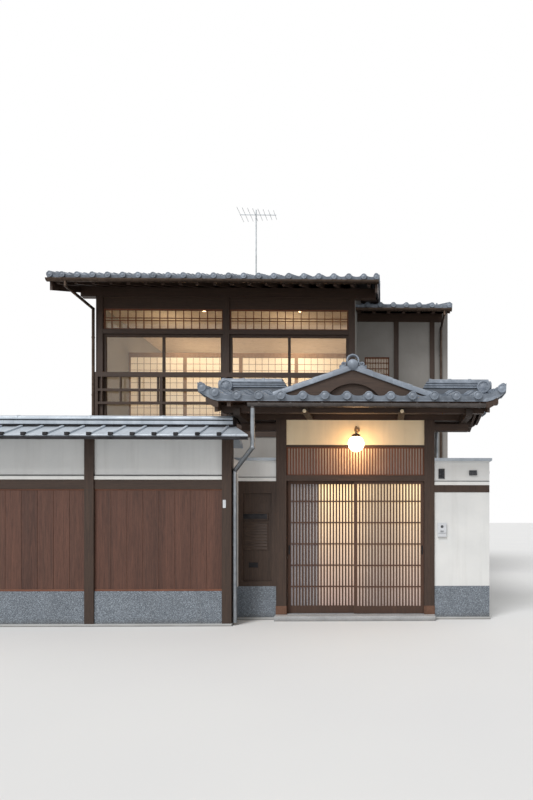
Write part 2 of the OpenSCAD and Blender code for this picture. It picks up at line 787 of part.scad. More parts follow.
module wall_plinths() color(gravel) {
    bay_boxes(0, wall_plinth_h, wall_t + 20);
    return_box(0, sleeve_plinth_h);
    left_sleeve_box(0, sleeve_plinth_h, sleeve_t);
    right_sleeve_box(0, sleeve_plinth_h, sleeve_t);
}

module wall_plaster() color(plaster) {
    bay_boxes(wall_plaster_z, wall_plate_z, wall_t);
    return_box(sleeve_plinth_h, sleeve_top);
    left_sleeve_box(left_beam_z + sleeve_beam_h, sleeve_top, sleeve_t - 10);
    right_sleeve_box(sleeve_beam_z + sleeve_beam_h, sleeve_top, sleeve_t - 10);
    right_sleeve_box(sleeve_plinth_h, sleeve_beam_z, sleeve_t - 10);
    difference() {
        slab([-post_in, -panel_t, gate_plaster_z], [post_in, panel_t, head_z]);
        for (x = [-inner_arm_x, inner_arm_x])
            slab([x - arm_w / 2, -panel_t - 1, arm_z], [x + arm_w / 2, panel_t + 1, head_z + 1]);
    }
}

module sleeve_frames() color(wood) {
    left_sleeve_box(left_beam_z, left_beam_z + sleeve_beam_h, sleeve_t);
    right_sleeve_box(sleeve_beam_z, sleeve_beam_z + sleeve_beam_h, sleeve_t);
    difference() {
        left_sleeve_box(sleeve_plinth_h, left_beam_z, sleeve_t);
        for (y = [-sleeve_t / 2 - 1, sleeve_t / 2 - panel_inset])
            translate([left_sleeve_in + panel_post_w, y, sleeve_plinth_h + panel_post_w])
                cube([-post_out - left_sleeve_in - 2 * panel_post_w, panel_inset + 1,
                      left_beam_z - sleeve_plinth_h - 2 * panel_post_w]);
    }
}

module sleeve_copings() color(wood) {
    slab([left_sleeve_in - wall_t, -sleeve_t / 2 - coping_lip, sleeve_top],
         [-post_out, sleeve_t / 2 + coping_lip, sleeve_h]);
    slab([post_out, -sleeve_t / 2 - coping_lip, sleeve_top],
         [sleeve_right_x + coping_lip, sleeve_t / 2 + coping_lip, sleeve_h]);
}

intercom_x = 100;
intercom_z = 1190;
intercom_w = 115;
intercom_h = 185;
intercom_t = 28;

module intercom() color("silver") {
    face = -(sleeve_t - 10) / 2;
    translate([post_out + intercom_x - intercom_w / 2, face - intercom_t, intercom_z - intercom_h / 2])
        difference() {
            cube([intercom_w, intercom_t, intercom_h]);
            translate([intercom_w / 2, -1, intercom_h * 0.72])
                rotate([-90, 0, 0]) cylinder(r = intercom_w * 0.17, h = 5);
        }
}

module street_wall_posts() color(wood)
    for (i = [0 : wall_bays])
        translate([wall_left_x + i * wall_bay - wall_post / 2, -wall_y - wall_post / 2, 0])
            cube([wall_post, wall_post, wall_plate_z]);

board_count = 8;
board_gap = 5;
board_groove = 4;

// Boarding in one piece, with a groove at each joint between boards
module street_wall_boards() color(wood_red)
    difference() {
        bay_boxes(wall_board_z, wall_rail_z, wall_t - 10);
        board_w = (wall_bay - wall_post) / board_count;
        for (i = [0 : wall_bays - 1], j = [1 : board_count - 1], side = [-1, 1])
            translate([wall_left_x + i * wall_bay + wall_post / 2 + j * board_w - board_gap / 2,
                       -wall_y + side * (wall_t - 10) / 2 - board_groove, wall_board_z - 1])
                cube([board_gap, 2 * board_groove, wall_board_h + 2]);
    }

wall_roof_left = wall_left_x - wall_verge;
wall_ridge_right = -sleeve_left_x + wall_ridge_end;
wall_roof_right = wall_ridge_right + wall_eave_end;

module street_wall_rails() color(wood) {
    bay_boxes(wall_rail_z, wall_plaster_z, wall_t + 20);
    translate([0, -wall_y, 0]) along_x(wall_roof_left + 40, wall_ridge_right - 20) intersection() {
        translate([-wall_plate_w / 2, wall_plate_z]) square([wall_plate_w, 2 * wall_plate_h]);
        polygon(under_roof(wall_roof_peak, wall_slope, wall_eave));
    }
}

// The front slope runs on past the ridge to a slanted end beside the gate
module street_wall_roof() color(tile)
    translate([0, -wall_y, 0]) intersection() {
        along_x(wall_roof_left, wall_roof_right)
            polygon(chevron(wall_roof_peak, wall_slope, wall_eave, wall_tile_t));
        linear_extrude(wall_roof_peak + wall_tile_t) polygon([
            [wall_roof_left, -wall_eave], [wall_roof_right, -wall_eave],
            [wall_ridge_right, 0], [wall_ridge_right, wall_eave], [wall_roof_left, wall_eave]
        ]);
    }

wall_ridge_w = 190;

module street_wall_ridge() color(tile)
    translate([0, -wall_y, wall_roof_peak + wall_tile_t + ridge_bed])
        along_x(wall_roof_left + 20, wall_ridge_right)
            ridge_profile(wall_ridge_w, wall_ridge_h, wall_slope, 2);

garden_right_x = sleeve_right_x - garden_wall_t;

module garden_box(z0, z1, extra) {
    slab([wall_left_x - garden_wall_t / 2 - extra, return_y0, z0],
         [wall_left_x + garden_wall_t / 2 + extra, house_y, z1]);
    slab([garden_right_x - extra, sleeve_t / 2, z0], [sleeve_right_x + min(extra, coping_lip), wing_y, z1]);
}

module garden_walls() color(plaster) garden_box(0, garden_wall_h, 0);

module garden_coping(x, y0, y1) translate([x, 0, garden_wall_h])
    along_y(y0, y1) polygon([
        [-garden_wall_t / 2 - coping_lip, 0], [garden_wall_t / 2 + coping_lip, 0],
        [garden_wall_t / 2 + coping_lip, garden_coping_h / 3], [0, garden_coping_h],
        [-garden_wall_t / 2 - coping_lip, garden_coping_h / 3]
    ]);

module garden_wall_copings() color(tile) {
    garden_coping(wall_left_x, return_y0, house_y);
    garden_coping(garden_right_x + garden_wall_t / 2, sleeve_t / 2 + coping_lip, wing_y);
}

// Outlines of the house in plan
module house_outline(inset) {
    translate([left_x + inset, house_y + inset])
        square([right_x - left_x - 2 * inset, house_d - 2 * inset]);
    translate([right_x - inset - 1, wing_y + inset])
        square([wing_right_x - right_x + 1, wing_back_y - wing_y - 2 * inset]);
}

module house_plinth() color(gravel)
    linear_extrude(house_plinth_h) difference() {
        house_outline(0);
        translate([left_x + house_wall_t, house_y + house_wall_t])
            square([right_x - left_x - 2 * house_wall_t, house_d - 2 * house_wall_t]);
        translate([right_x, wing_y + house_wall_t])
            square([wing_right_x - right_x - house_wall_t, wing_back_y - wing_y - 2 * house_wall_t]);
    }

link_y0 = wing_y + house_wall_t;
link_y1 = wing_back_y - house_wall_t;
link_head = 250;

module floor_plate(z) translate([0, 0, z - floor_t]) linear_extrude(floor_t) {
    translate([left_x + house_wall_t, front_in])
        square([right_x - left_x - 2 * house_wall_t, house_d - house_post - house_wall_t]);
    translate([right_x - house_wall_t - 1, link_y0])
        square([wing_right_x - right_x - 2 * house_wall_t + house_wall_t + 1, link_y1 - link_y0]);
}

module floors() color(wood_red) {
    floor_plate(floor_1_z);
    floor_plate(floor_2_z);
    slab([left_x + house_wall_t, front_in, ceiling_z],
         [right_x - house_wall_t, back_y - house_wall_t, ceiling_z + floor_t]);
    slab([right_x, link_y0, ceiling_z],
         [wing_right_x - house_wall_t, link_y1, ceiling_z + floor_t]);
}

roof_ridge_beam_h = 150;
roof_ridge_beam_w = 120;

// Side of a gable wall, drawn in Y and Z about the ridge line
module gable_profile(peak, y0, y1, notch) difference() {
    intersection() {
        polygon(under_roof(peak, house_slope, main_reach));
        translate([y0 - ridge_y, house_plinth_h]) square([y1 - y0, peak]);
    }
    if (notch)
        translate([-roof_ridge_beam_w / 2, peak - roof_ridge_beam_h])
            square([roof_ridge_beam_w, roof_ridge_beam_h + 1]);
}

module party_wall_left() color(clay)
    translate([0, ridge_y, 0]) along_x(left_x, left_x + house_wall_t)
        gable_profile(main_peak, front_in, back_y - house_wall_t, true);

module party_wall_right() color(clay)
    translate([0, ridge_y, 0]) along_x(wing_right_x - house_wall_t, wing_right_x)
        gable_profile(wing_peak, wing_y, wing_back_y, false);

module gable_wall_right() color(clay)
    translate([0, ridge_y, 0]) along_x(right_x - house_wall_t, right_x) difference() {
        gable_profile(main_peak, front_in, back_y - house_wall_t, true);
        for (storey = [[floor_1_z, floor_2_z - floor_t - link_head],
                       [floor_2_z, wing_eaves_z - link_head / 2]])
            translate([link_y0 - ridge_y, storey[0] - floor_t])
                square([link_y1 - link_y0, storey[1] - storey[0] + floor_t]);
    }

// Windows of the back: middle, sill height and outer face of the wall
back_quarter = (right_x - left_x) / 4;
back_sill = 850;
back_windows = [
    [left_x + back_quarter, floor_1_z + back_sill, back_y],
    [left_x + back_quarter, floor_2_z + back_sill, back_y],
    [right_x - back_quarter, floor_2_z + back_sill, back_y],
];
back_door_x = right_x - back_quarter;

module back_walls() color(clay) {
    difference() {
        slab([left_x, back_y - house_wall_t, house_plinth_h], [right_x, back_y, eaves_z]);
        for (w = back_windows)
            slab([w[0] - back_window_w / 2, w[2] - house_wall_t - 1, w[1]],
                 [w[0] + back_window_w / 2, w[2] + 1, w[1] + back_window_h]);
        slab([back_door_x - back_door_w / 2, back_y - house_wall_t - 1, floor_1_z],
             [back_door_x + back_door_w / 2, back_y + 1, door_lintel_z]);
    }
    slab([right_x, wing_back_y - house_wall_t, house_plinth_h],
         [wing_right_x - house_wall_t, wing_back_y, wing_eaves_z]);
}

wing_post_w = 100;
wing_posts = [right_x + wing_post_1, right_x + wing_post_2];
main_posts = [left_x + house_post / 2, mid_x, right_x - house_post / 2];

module front_posts() color(wood) {
    for (x = main_posts)
        slab([x - house_post / 2, house_y, house_plinth_h], [x + house_post / 2, front_in, eaves_z]);
    for (x = wing_posts)
        slab([x - wing_post_w / 2, wing_y, house_plinth_h],
             [x + wing_post_w / 2, wing_y + house_wall_t, wing_eaves_z]);
}

// Boxes of depth t that fill the two front bays of the main block
main_bay_w = (right_x - left_x - 3 * house_post) / 2;

module main_bays(z0, z1, t)
    for (i = [0, 1])
        translate([main_posts[i] + house_post / 2, house_y + (house_post - t) / 2, z0])
            cube([main_bay_w, t, z1 - z0]);

wing_bay_xs = [
    [right_x, wing_posts[0] - wing_post_w / 2],
    [wing_posts[0] + wing_post_w / 2, wing_posts[1] - wing_post_w / 2],
    [wing_posts[1] + wing_post_w / 2, wing_right_x - house_wall_t]
];

module wing_bay(i, z0, z1, t)
    slab([wing_bay_xs[i][0], wing_y + (house_wall_t - t) / 2, z0],
         [wing_bay_xs[i][1], wing_y + (house_wall_t + t) / 2, z1]);

module front_beams() color(wood) {
    main_bays(house_plinth_h, sill_1_z, house_post - 10);
    main_bays(lintel_1_z, band_1_z, house_post - 10);
    main_bays(floor_beam_z, sill_2_z, house_post - 10);
    main_bays(lintel_2_z, transom_z, house_post - 10);
    main_bays(fascia_z, eaves_z, infill_t);
    wing_bay(0, house_plinth_h, floor_1_z, house_wall_t - 10);
    wing_bay(0, door_lintel_z, door_lintel_z + window_lintel_h, house_wall_t - 10);
}

wing_window_left = 155;
wing_window_w = 525;
wing_window_h = 600;
wing_window_top = 4780;

module front_walls() color(clay) {
    main_bays(band_1_z, floor_beam_z, infill_t);
    difference() {
        wing_bay(0, door_lintel_z + window_lintel_h, wing_eaves_z, infill_t);
        slab([right_x + wing_window_left, wing_y, wing_window_top - wing_window_h],
             [right_x + wing_window_left + wing_window_w, wing_y + house_wall_t, wing_window_top]);
    }
    wing_bay(1, house_plinth_h, wing_eaves_z, infill_t);
    wing_bay(2, house_plinth_h, wing_eaves_z, infill_t);
}

sash_y = house_y + (house_post - sash_t) / 2;
front_sashes = [for (i = [0, 1], z = [sill_1_z, sill_2_z]) [main_posts[i] + house_post / 2, sash_y, z]];
back_sashes = [for (w = back_windows)
    [w[0] - back_window_w / 2, w[2] - (house_wall_t + sash_t) / 2, w[1]]];

module window_sashes() color(wood) {
    for (s = front_sashes)
        translate(s) along_y(0, sash_t) pane_frame(main_bay_w, window_h, 2, sash_w, sash_w);
    for (s = back_sashes)
        translate(s) along_y(0, sash_t) pane_frame(back_window_w, back_window_h, 2, sash_w, sash_w);
}

// The two panes of a sash frame
module panes(w, h) translate([0, (sash_t - glass_t) / 2, 0]) along_y(0, glass_t) difference() {
    square([w, h]);
    pane_frame(w, h, 2, sash_w, sash_w);
}

lattice_y = infill_y + 20;
transom_t = 22;

module window_glass() color(glass) {
    for (s = front_sashes) translate(s) panes(main_bay_w, window_h);
    for (s = back_sashes) translate(s) panes(back_window_w, back_window_h);
    for (i = [0, 1])
        translate([main_posts[i] + house_post / 2, house_y + lattice_y + transom_t, transom_z])
            cube([main_bay_w, glass_t, transom_h]);
    translate([right_x + wing_window_left, wing_y + lattice_y + transom_t, wing_window_top - wing_window_h])
        cube([wing_window_w, glass_t, wing_window_h]);
}

lattice_bar_w = 12;
lattice_frame_w = 26;

// Lattice of upright bars with cross bars at the given heights
module lattice(w, h, bars, cross_zs) {
    difference() {
        square([w, h]);
        translate([lattice_frame_w, lattice_frame_w])
            square([w - 2 * lattice_frame_w, h - 2 * lattice_frame_w]);
    }
    for (i = [1 : bars]) translate([w * i / (bars + 1) - lattice_bar_w / 2, 0]) square([lattice_bar_w, h]);
    for (z = cross_zs) translate([0, z - lattice_bar_w / 2]) square([w, lattice_bar_w]);
}

wing_window_bars = 8;

module window_lattices() color(wood_red) {
    for (i = [0, 1])
        translate([main_posts[i] + house_post / 2, house_y + lattice_y, transom_z]) along_y(0, transom_t)
            lattice(main_bay_w, transom_h, transom_bars, [transom_h * 0.445, transom_h * 0.57]);
    translate([right_x + wing_window_left, wing_y + lattice_y, wing_window_top - wing_window_h])
        along_y(0, transom_t) lattice(wing_window_w, wing_window_h, wing_window_bars,
            [for (k = [1 : 4]) wing_window_h * k / 5]);
}

rail_t = 45;
rail_top_h = 90;
rail_mid_h = 45;
rail_mid_z = 680;
rail_low_z = 430;
rail_post_w = 55;
baluster_w = 24;
baluster_count = 4;

module railing() color(wood) {
    translate([left_x, 0, floor_2_z]) along_y(house_y - rail_t, house_y) {
        w = right_x - left_x;
        translate([0, railing_z - rail_top_h]) square([w, rail_top_h]);
        for (z = [rail_low_z, rail_mid_z]) translate([0, z]) square([w, rail_mid_h]);
        for (x = spread(0, w - rail_post_w, 5))
            translate([x, sill_h]) square([rail_post_w, railing_z - sill_h - 1]);
        for (x = spread(rail_post_w + 60, w / 4 - 60, baluster_count))
            translate([x, rail_low_z]) square([baluster_w, railing_z - rail_low_z - 1]);
    }
}

screen_h = 1700;
screen_t = 30;
screen_head_h = 60;
screen_count = 4;
screen_x0 = left_x + house_wall_t;
screen_w = (right_x - left_x - 2 * house_wall_t) / screen_count;
screen_y = front_in + screen_back;
screen_stile = 36;

module inner_screens() color(wood_red)
    translate([screen_x0, screen_y, floor_2_z]) along_y(0, screen_t) {
        for (i = [0 : screen_count - 1])
            translate([i * screen_w, 0]) pane_frame(screen_w, screen_h, 1, screen_stile, screen_stile);
        translate([0, screen_h - 1]) square([screen_w * screen_count, screen_head_h + 1]);
    }

module screen_paper() color("#f6efdc")
    translate([screen_x0, screen_y + screen_t / 2, floor_2_z])
        for (i = [0 : screen_count - 1])
            translate([i * screen_w + screen_stile, 0, screen_stile])
                cube([screen_w - 2 * screen_stile, pane_t, screen_h - 2 * screen_stile]);

entrance_leaf_w = 720;
entrance_leaf_t = 32;
entrance_bars = 11;

module house_doors() color(wood_red) {
    translate([wing_bay_xs[0][1], wing_y + house_wall_t, floor_1_z])
        along_y(0, entrance_leaf_t) lattice(entrance_leaf_w, house_door_h, entrance_bars,
            [for (k = [1 : 4]) house_door_h * k / 5]);
    slab([back_door_x - back_door_w / 2, back_y - house_wall_t + 30, floor_1_z],
         [back_door_x + back_door_w / 2, back_y - 40, door_lintel_z]);
}

verge_inset = 25;
house_verge_t = 42;
house_verge_h = 190;
house_rafter_end = 25;

// A level beam under the rafters of a roof that peaks at the given height
module beam_under(peak, x0, x1, y0, y1, z0) translate([0, ridge_y, 0]) along_x(x0, x1) intersection() {
    polygon(under_roof(peak, house_slope, main_reach));
    translate([y0 - ridge_y, z0]) square([y1 - y0, peak]);
}

module roof_beams() color(wood) {
    x0 = main_roof_left + verge_inset + house_verge_t;
    x1 = main_roof_right - verge_inset - house_verge_t;
    beam_under(main_peak, x0, x1, house_y, front_in, eaves_z);
    beam_under(main_peak, x0, x1, back_y - house_wall_t, back_y, eaves_z);
    ridge_y0 = ridge_y - roof_ridge_beam_w / 2;
    ridge_y1 = ridge_y + roof_ridge_beam_w / 2;
    beam_under(main_peak, x0, x1, ridge_y0, ridge_y1, main_peak - roof_ridge_beam_h);
    wing_x1 = wing_right_x - house_wall_t;
    beam_under(wing_peak, right_x, wing_x1, wing_y, wing_y + house_wall_t, wing_eaves_z);
    beam_under(wing_peak, right_x, wing_x1, wing_back_y - house_wall_t, wing_back_y, wing_eaves_z);
    beam_under(wing_peak, right_x, wing_x1, ridge_y0, ridge_y1, wing_peak - roof_ridge_beam_h);
}

// A pair of rafters or verge boards from x0 to x1, one down each slope
module rafter_pair(x0, x1, peak, reach, h)
    for (half = [-1, 1]) along_x(x0, x1) polygon(half_chevron(half, peak, house_slope, reach, h));

module house_rafters() color(wood) translate([0, ridge_y, 0]) {
    main_rafter_reach = main_reach - house_rafter_end;
    for (x = spread(main_roof_left + verge_inset + house_verge_t + 2 * rafter_w,
                    main_roof_right - verge_inset - house_verge_t - 2 * rafter_w, rafter_count))
        rafter_pair(x - rafter_w / 2, x + rafter_w / 2, main_peak, main_rafter_reach, rafter_h);
    for (x = [main_roof_left + verge_inset, main_roof_right - verge_inset - house_verge_t])
        rafter_pair(x, x + house_verge_t, main_peak + rafter_h - house_verge_h, main_rafter_reach,
                    house_verge_h);
    for (x = spread(right_x + rafter_w, wing_right_x - rafter_w, wing_rafter_count))
        rafter_pair(x - rafter_w / 2, x + rafter_w / 2, wing_peak, wing_reach - house_rafter_end, rafter_h);
}

module house_roof_boards() color(wood) translate([0, ridge_y, 0]) {
    along_x(main_roof_left + verge_inset, main_roof_right - verge_inset)
        polygon(chevron(main_peak + rafter_h, house_slope, main_reach - house_rafter_end / 2, board_t));
    along_x(right_x, wing_right_x)
        polygon(chevron(wing_peak + rafter_h, house_slope, wing_reach - house_rafter_end / 2, board_t));
}

bow_steps = 8;
main_tile_peak = main_peak + rafter_h + board_t;
wing_tile_peak = wing_peak + rafter_h + board_t;
function bowed(y) = main_tile_peak + tile_t - house_slope * abs(y)
    + 4 * roof_bow * abs(y) / main_reach * (1 - abs(y) / main_reach);
main_top_slope = house_slope - 4 * roof_bow * (1 - 1 / bow_steps) / main_reach;

module main_roof() color(tile) translate([0, ridge_y, 0]) along_x(main_roof_left, main_roof_right)
    polygon(concat(
        [[-main_reach, main_tile_peak - house_slope * main_reach], [0, main_tile_peak],
         [main_reach, main_tile_peak - house_slope * main_reach]],
        [for (i = [bow_steps : -1 : -bow_steps]) let (y = main_reach * i / bow_steps) [y, bowed(y)]]
    ));

module wing_roof() color(tile) translate([0, ridge_y, 0]) along_x(right_x, wing_right_x)
    polygon(chevron(wing_tile_peak, house_slope, wing_reach, tile_t));

main_ridge_w = 300;
wing_ridge_w = 220;

module house_ridges() color(tile) translate([0, ridge_y, 0]) {
    translate([0, 0, main_tile_peak + tile_t + ridge_bed])
        along_x(main_roof_left + 40, main_roof_right - 40)
            ridge_profile(main_ridge_w, main_ridge_h, main_top_slope, 4);
    translate([0, 0, wing_tile_peak + tile_t + ridge_bed])
        along_x(right_x, wing_right_x - 20) ridge_profile(wing_ridge_w, wing_ridge_h, house_slope, 1);
}

pipe_gap = 5;

// Gutter under one eave of a house roof, on the side -1 or 1, with its pipe down beside the wall at wall_at
module house_gutter(x0, x1, side, peak, reach, pipe_x, wall_at) {
    end = reach - house_rafter_end;
    y = ridge_y + side * (end + house_gutter_r);
    z = peak - house_slope * reach + rafter_h;
    pipe_y = wall_at + side * (pipe_r + pipe_gap);
    gutter(x0, x1, y, z, house_gutter_r) pipe_run([
        [pipe_x, y, z - house_gutter_r / 2], [pipe_x, y, z - 2.4 * house_gutter_r],
        [pipe_x, pipe_y, z - 3.4 * house_gutter_r], [pipe_x, pipe_y, pipe_foot_z]
    ]);
}

module house_gutters() color(bronze) {
    corner_x = left_x - pipe_r - elbow_lip - pipe_gap;
    wing_pipe_x = wing_right_x - house_wall_t - pipe_r;
    house_gutter(main_roof_left, main_roof_right, -1, main_peak, main_reach, corner_x, house_y);
    house_gutter(main_roof_left, main_roof_right, 1, main_peak, main_reach,
                 left_x + house_wall_t, back_y);
    house_gutter(right_x, wing_right_x, -1, wing_peak, wing_reach, wing_pipe_x, wing_y);
    house_gutter(right_x, wing_right_x, 1, wing_peak, wing_reach, wing_pipe_x, wing_back_y);
}

aerial_x = -2760;
mast_r = 17;
boom_r = 9;
boom_l = 900;
element_r = 5;
element_count = 8;
element_half = 330;
element_taper = 18;
boom_drop = 120;

module aerial() color("silver") {
    foot_z = main_tile_peak + tile_t + main_ridge_h;
    top_z = foot_z + aerial_h;
    boom_z = top_z - boom_drop;
    translate([aerial_x, ridge_y, 0]) {
        translate([0, 0, foot_z]) cylinder(r = mast_r, h = aerial_h);
        rod([-boom_l * 0.45, 0, boom_z], [boom_l * 0.55, 0, boom_z], boom_r);
        for (i = [0 : element_count - 1]) {
            half = element_half - element_taper * i;
            x = boom_l * (-0.43 + 0.95 * i / (element_count - 1));
            rod([x, -half, boom_z], [x, half, boom_z], element_r);
        }
    }
}

gate_threshold();
gate_door_rails();
gate_posts();
gate_beams();
gate_arms();
gate_purlins();
gate_transom();
gate_transom_pane();
gate_rafters();
gate_roof_boards();
gate_roof();
gate_ridges();
gate_gable_roof();
gate_gable_front();
gate_ridge_ends();
gate_door_left();
gate_door_right();
gate_door_left_pane();
gate_door_right_pane();
gate_lamp();
gate_lamp_globe();
gate_gutters();
wall_plinths();
wall_plaster();
sleeve_frames();
sleeve_copings();
intercom();
street_wall_posts();
street_wall_boards();
street_wall_rails();
street_wall_roof();
street_wall_ridge();
garden_walls();
garden_wall_copings();
house_plinth();
floors();
party_wall_left();
party_wall_right();
gable_wall_right();
back_walls();
front_posts();
front_beams();
front_walls();
window_sashes();
window_glass();
window_lattices();
railing();
inner_screens();
screen_paper();
house_doors();
roof_beams();
house_rafters();
house_roof_boards();
main_roof();
wing_roof();
house_ridges();
house_gutters();
aerial();
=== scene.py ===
import json
import math

import bpy
import bmesh
import numpy as np
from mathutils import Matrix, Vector

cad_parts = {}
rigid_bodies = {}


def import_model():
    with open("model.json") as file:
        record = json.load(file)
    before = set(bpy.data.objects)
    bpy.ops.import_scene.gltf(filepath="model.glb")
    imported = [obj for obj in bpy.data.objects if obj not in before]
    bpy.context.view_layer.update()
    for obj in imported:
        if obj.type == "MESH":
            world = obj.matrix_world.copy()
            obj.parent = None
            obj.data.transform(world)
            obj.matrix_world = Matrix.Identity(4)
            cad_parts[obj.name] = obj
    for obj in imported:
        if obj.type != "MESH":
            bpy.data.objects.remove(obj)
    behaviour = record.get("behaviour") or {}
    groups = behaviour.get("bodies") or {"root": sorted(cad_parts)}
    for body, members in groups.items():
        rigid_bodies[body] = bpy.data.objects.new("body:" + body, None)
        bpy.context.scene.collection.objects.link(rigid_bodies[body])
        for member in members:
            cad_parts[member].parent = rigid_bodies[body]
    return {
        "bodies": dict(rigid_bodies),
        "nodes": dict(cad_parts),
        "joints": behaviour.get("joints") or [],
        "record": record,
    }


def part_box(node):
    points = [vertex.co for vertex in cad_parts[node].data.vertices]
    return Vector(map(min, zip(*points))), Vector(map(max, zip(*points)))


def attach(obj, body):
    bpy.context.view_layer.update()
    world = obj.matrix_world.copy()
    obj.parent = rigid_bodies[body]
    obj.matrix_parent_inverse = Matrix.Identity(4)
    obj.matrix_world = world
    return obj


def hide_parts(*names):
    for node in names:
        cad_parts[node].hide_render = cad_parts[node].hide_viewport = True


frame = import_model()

scene = bpy.context.scene
cadNodes = frame["nodes"]
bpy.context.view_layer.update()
dice = np.random.default_rng(35)

# Camera at eye level before the gate, turned a little to the right
cameraView = {
    "place": (0.35, -7.164, 1.326), "turnRight": math.radians(0.92), "lens": 24.0, "sensor": 36.0,
    "shiftX": -0.1548, "shiftY": 0.1494, "sightLimit": 400.0,
}


def makeCamera():
    data = bpy.data.cameras.new("street_camera")
    data.lens = cameraView["lens"]
    data.sensor_width = cameraView["sensor"]
    data.sensor_fit = "AUTO"
    data.shift_x = cameraView["shiftX"]
    data.shift_y = cameraView["shiftY"]
    data.clip_end = cameraView["sightLimit"]
    camera = bpy.data.objects.new("street_camera", data)
    camera.location = cameraView["place"]
    camera.rotation_euler = (math.pi / 2, 0, -cameraView["turnRight"])
    scene.collection.objects.link(camera)
    scene.camera = camera


makeCamera()
print("camera ready")


# Small helpers for node trees
def rgb(text):
    # Colour written as on screen, such as 8f6a4c, turned into linear values
    parts = [int(text[i:i + 2], 16) / 255 for i in (0, 2, 4)]
    return tuple(c / 12.92 if c <= 0.04045 else ((c + 0.055) / 1.055) ** 2.4 for c in parts) + (1,)


def feed(tree, socket, value):
    # Links another node's output to a socket, or sets a plain value, or a colour written as on screen
    if isinstance(value, bpy.types.NodeSocket):
        tree.links.new(value, socket)
    else:
        socket.default_value = rgb(value) if isinstance(value, str) else value


def addNode(tree, kind, inputs=None, **settings):
    made = tree.nodes.new(kind)
    for key, value in settings.items():
        setattr(made, key, value)
    for key, value in (inputs or {}).items():
        feed(tree, made.inputs[key], value)
    return made


def mixColors(tree, factor, first, second, blend="MIX"):
    values = {0: factor, 6: first, 7: second}
    return addNode(tree, "ShaderNodeMix", values, data_type="RGBA", blend_type=blend).outputs[2]


def doMath(tree, operation, first, second=0.0, third=0.0, clamp=False):
    values = {0: first, 1: second, 2: third}
    return addNode(tree, "ShaderNodeMath", values, operation=operation, use_clamp=clamp).outputs[0]


def vectorMath(tree, operation, first, second):
    made = addNode(tree, "ShaderNodeVectorMath", {0: first, 1: second}, operation=operation)
    return made.outputs["Value" if operation == "DOT_PRODUCT" else "Vector"]


def splitAxes(tree, vector):
    return addNode(tree, "ShaderNodeSeparateXYZ", {0: vector}).outputs


def spreadRange(tree, value, low, high, newLow=0.0, newHigh=1.0):
    made = addNode(tree, "ShaderNodeMapRange", {
        "Value": value, "From Min": low, "From Max": high, "To Min": newLow, "To Max": newHigh}, clamp=True)
    return made.outputs["Result"]


def pastEdge(tree, value, edge, blur=0.01):
    return spreadRange(tree, value, edge - blur, edge)


def noiseValue(tree, vector, scale, detail, roughness=0.55, distortion=0.0):
    made = addNode(tree, "ShaderNodeTexNoise", {
        "Vector": vector, "Scale": scale, "Detail": detail, "Roughness": roughness, "Distortion": distortion})
    return made.outputs["Fac"]


def newGroup(name, inputs, outputs):
    # An empty group, with the sockets it is given and those it puts out
    group = bpy.data.node_groups.new(name, "ShaderNodeTree")
    for label, kind, value in inputs:
        socket = group.interface.new_socket(name=label, in_out="INPUT", socket_type=kind)
        if value is not None:
            feed(group, socket, value)
    for label, kind in outputs:
        group.interface.new_socket(name=label, in_out="OUTPUT", socket_type=kind)
    start = group.nodes.new("NodeGroupInput")
    end = group.nodes.new("NodeGroupOutput")
    return group, start.outputs, end.inputs


floatSocket, colorSocket, vectorSocket = "NodeSocketFloat", "NodeSocketColor", "NodeSocketVector"
middleGrey = (0.5, 0.5, 0.5, 1)


# Wood grain: fibres drawn out along one direction, with slow bands across them
def makeGrainGroup():
    group, given, out = newGroup(
        "Wood grain",
        [("Vector", vectorSocket, None), ("Stretch", vectorSocket, (30, 30, 1.6)),
         ("Light", colorSocket, "7a5a44"), ("Dark", colorSocket, "3c2a22"), ("Tone", floatSocket, 0.5)],
        [("Color", colorSocket), ("Height", floatSocket), ("Roughness", floatSocket)])
    toneShift = doMath(group, "MULTIPLY", given["Tone"], 37.0)
    offset = addNode(group, "ShaderNodeCombineXYZ", {axis: toneShift for axis in "XYZ"})
    stretched = vectorMath(group, "MULTIPLY", given["Vector"], given["Stretch"])
    shifted = vectorMath(group, "ADD", stretched, offset.outputs[0])
    fibres = noiseValue(group, shifted, 6.0, 5.0, 0.65, 0.3)
    bands = noiseValue(group, shifted, 0.9, 3.0, 0.6, 1.4)
    pores = noiseValue(group, shifted, 19.0, 2.0, 0.6)
    fibreMask = spreadRange(group, fibres, 0.3, 0.7)
    bandMask = spreadRange(group, bands, 0.32, 0.68)
    blend = doMath(group, "MULTIPLY_ADD", fibreMask, 0.45, doMath(group, "MULTIPLY", bandMask, 0.4))
    blend = doMath(group, "ADD", blend, doMath(group, "MULTIPLY", given["Tone"], 0.3), clamp=True)
    color = mixColors(group, blend, given["Dark"], given["Light"])
    poreMask = spreadRange(group, pores, 0.33, 0.45, 0.72, 1.0)
    height = doMath(group, "MULTIPLY_ADD", fibreMask, 0.7, doMath(group, "MULTIPLY", poreMask, 0.5))
    feed(group, out["Color"], mixColors(group, 1.0, color, poreMask, "MULTIPLY"))
    feed(group, out["Height"], height)
    feed(group, out["Roughness"], spreadRange(group, fibres, 0.3, 0.75, 0.62, 0.42))
    return group


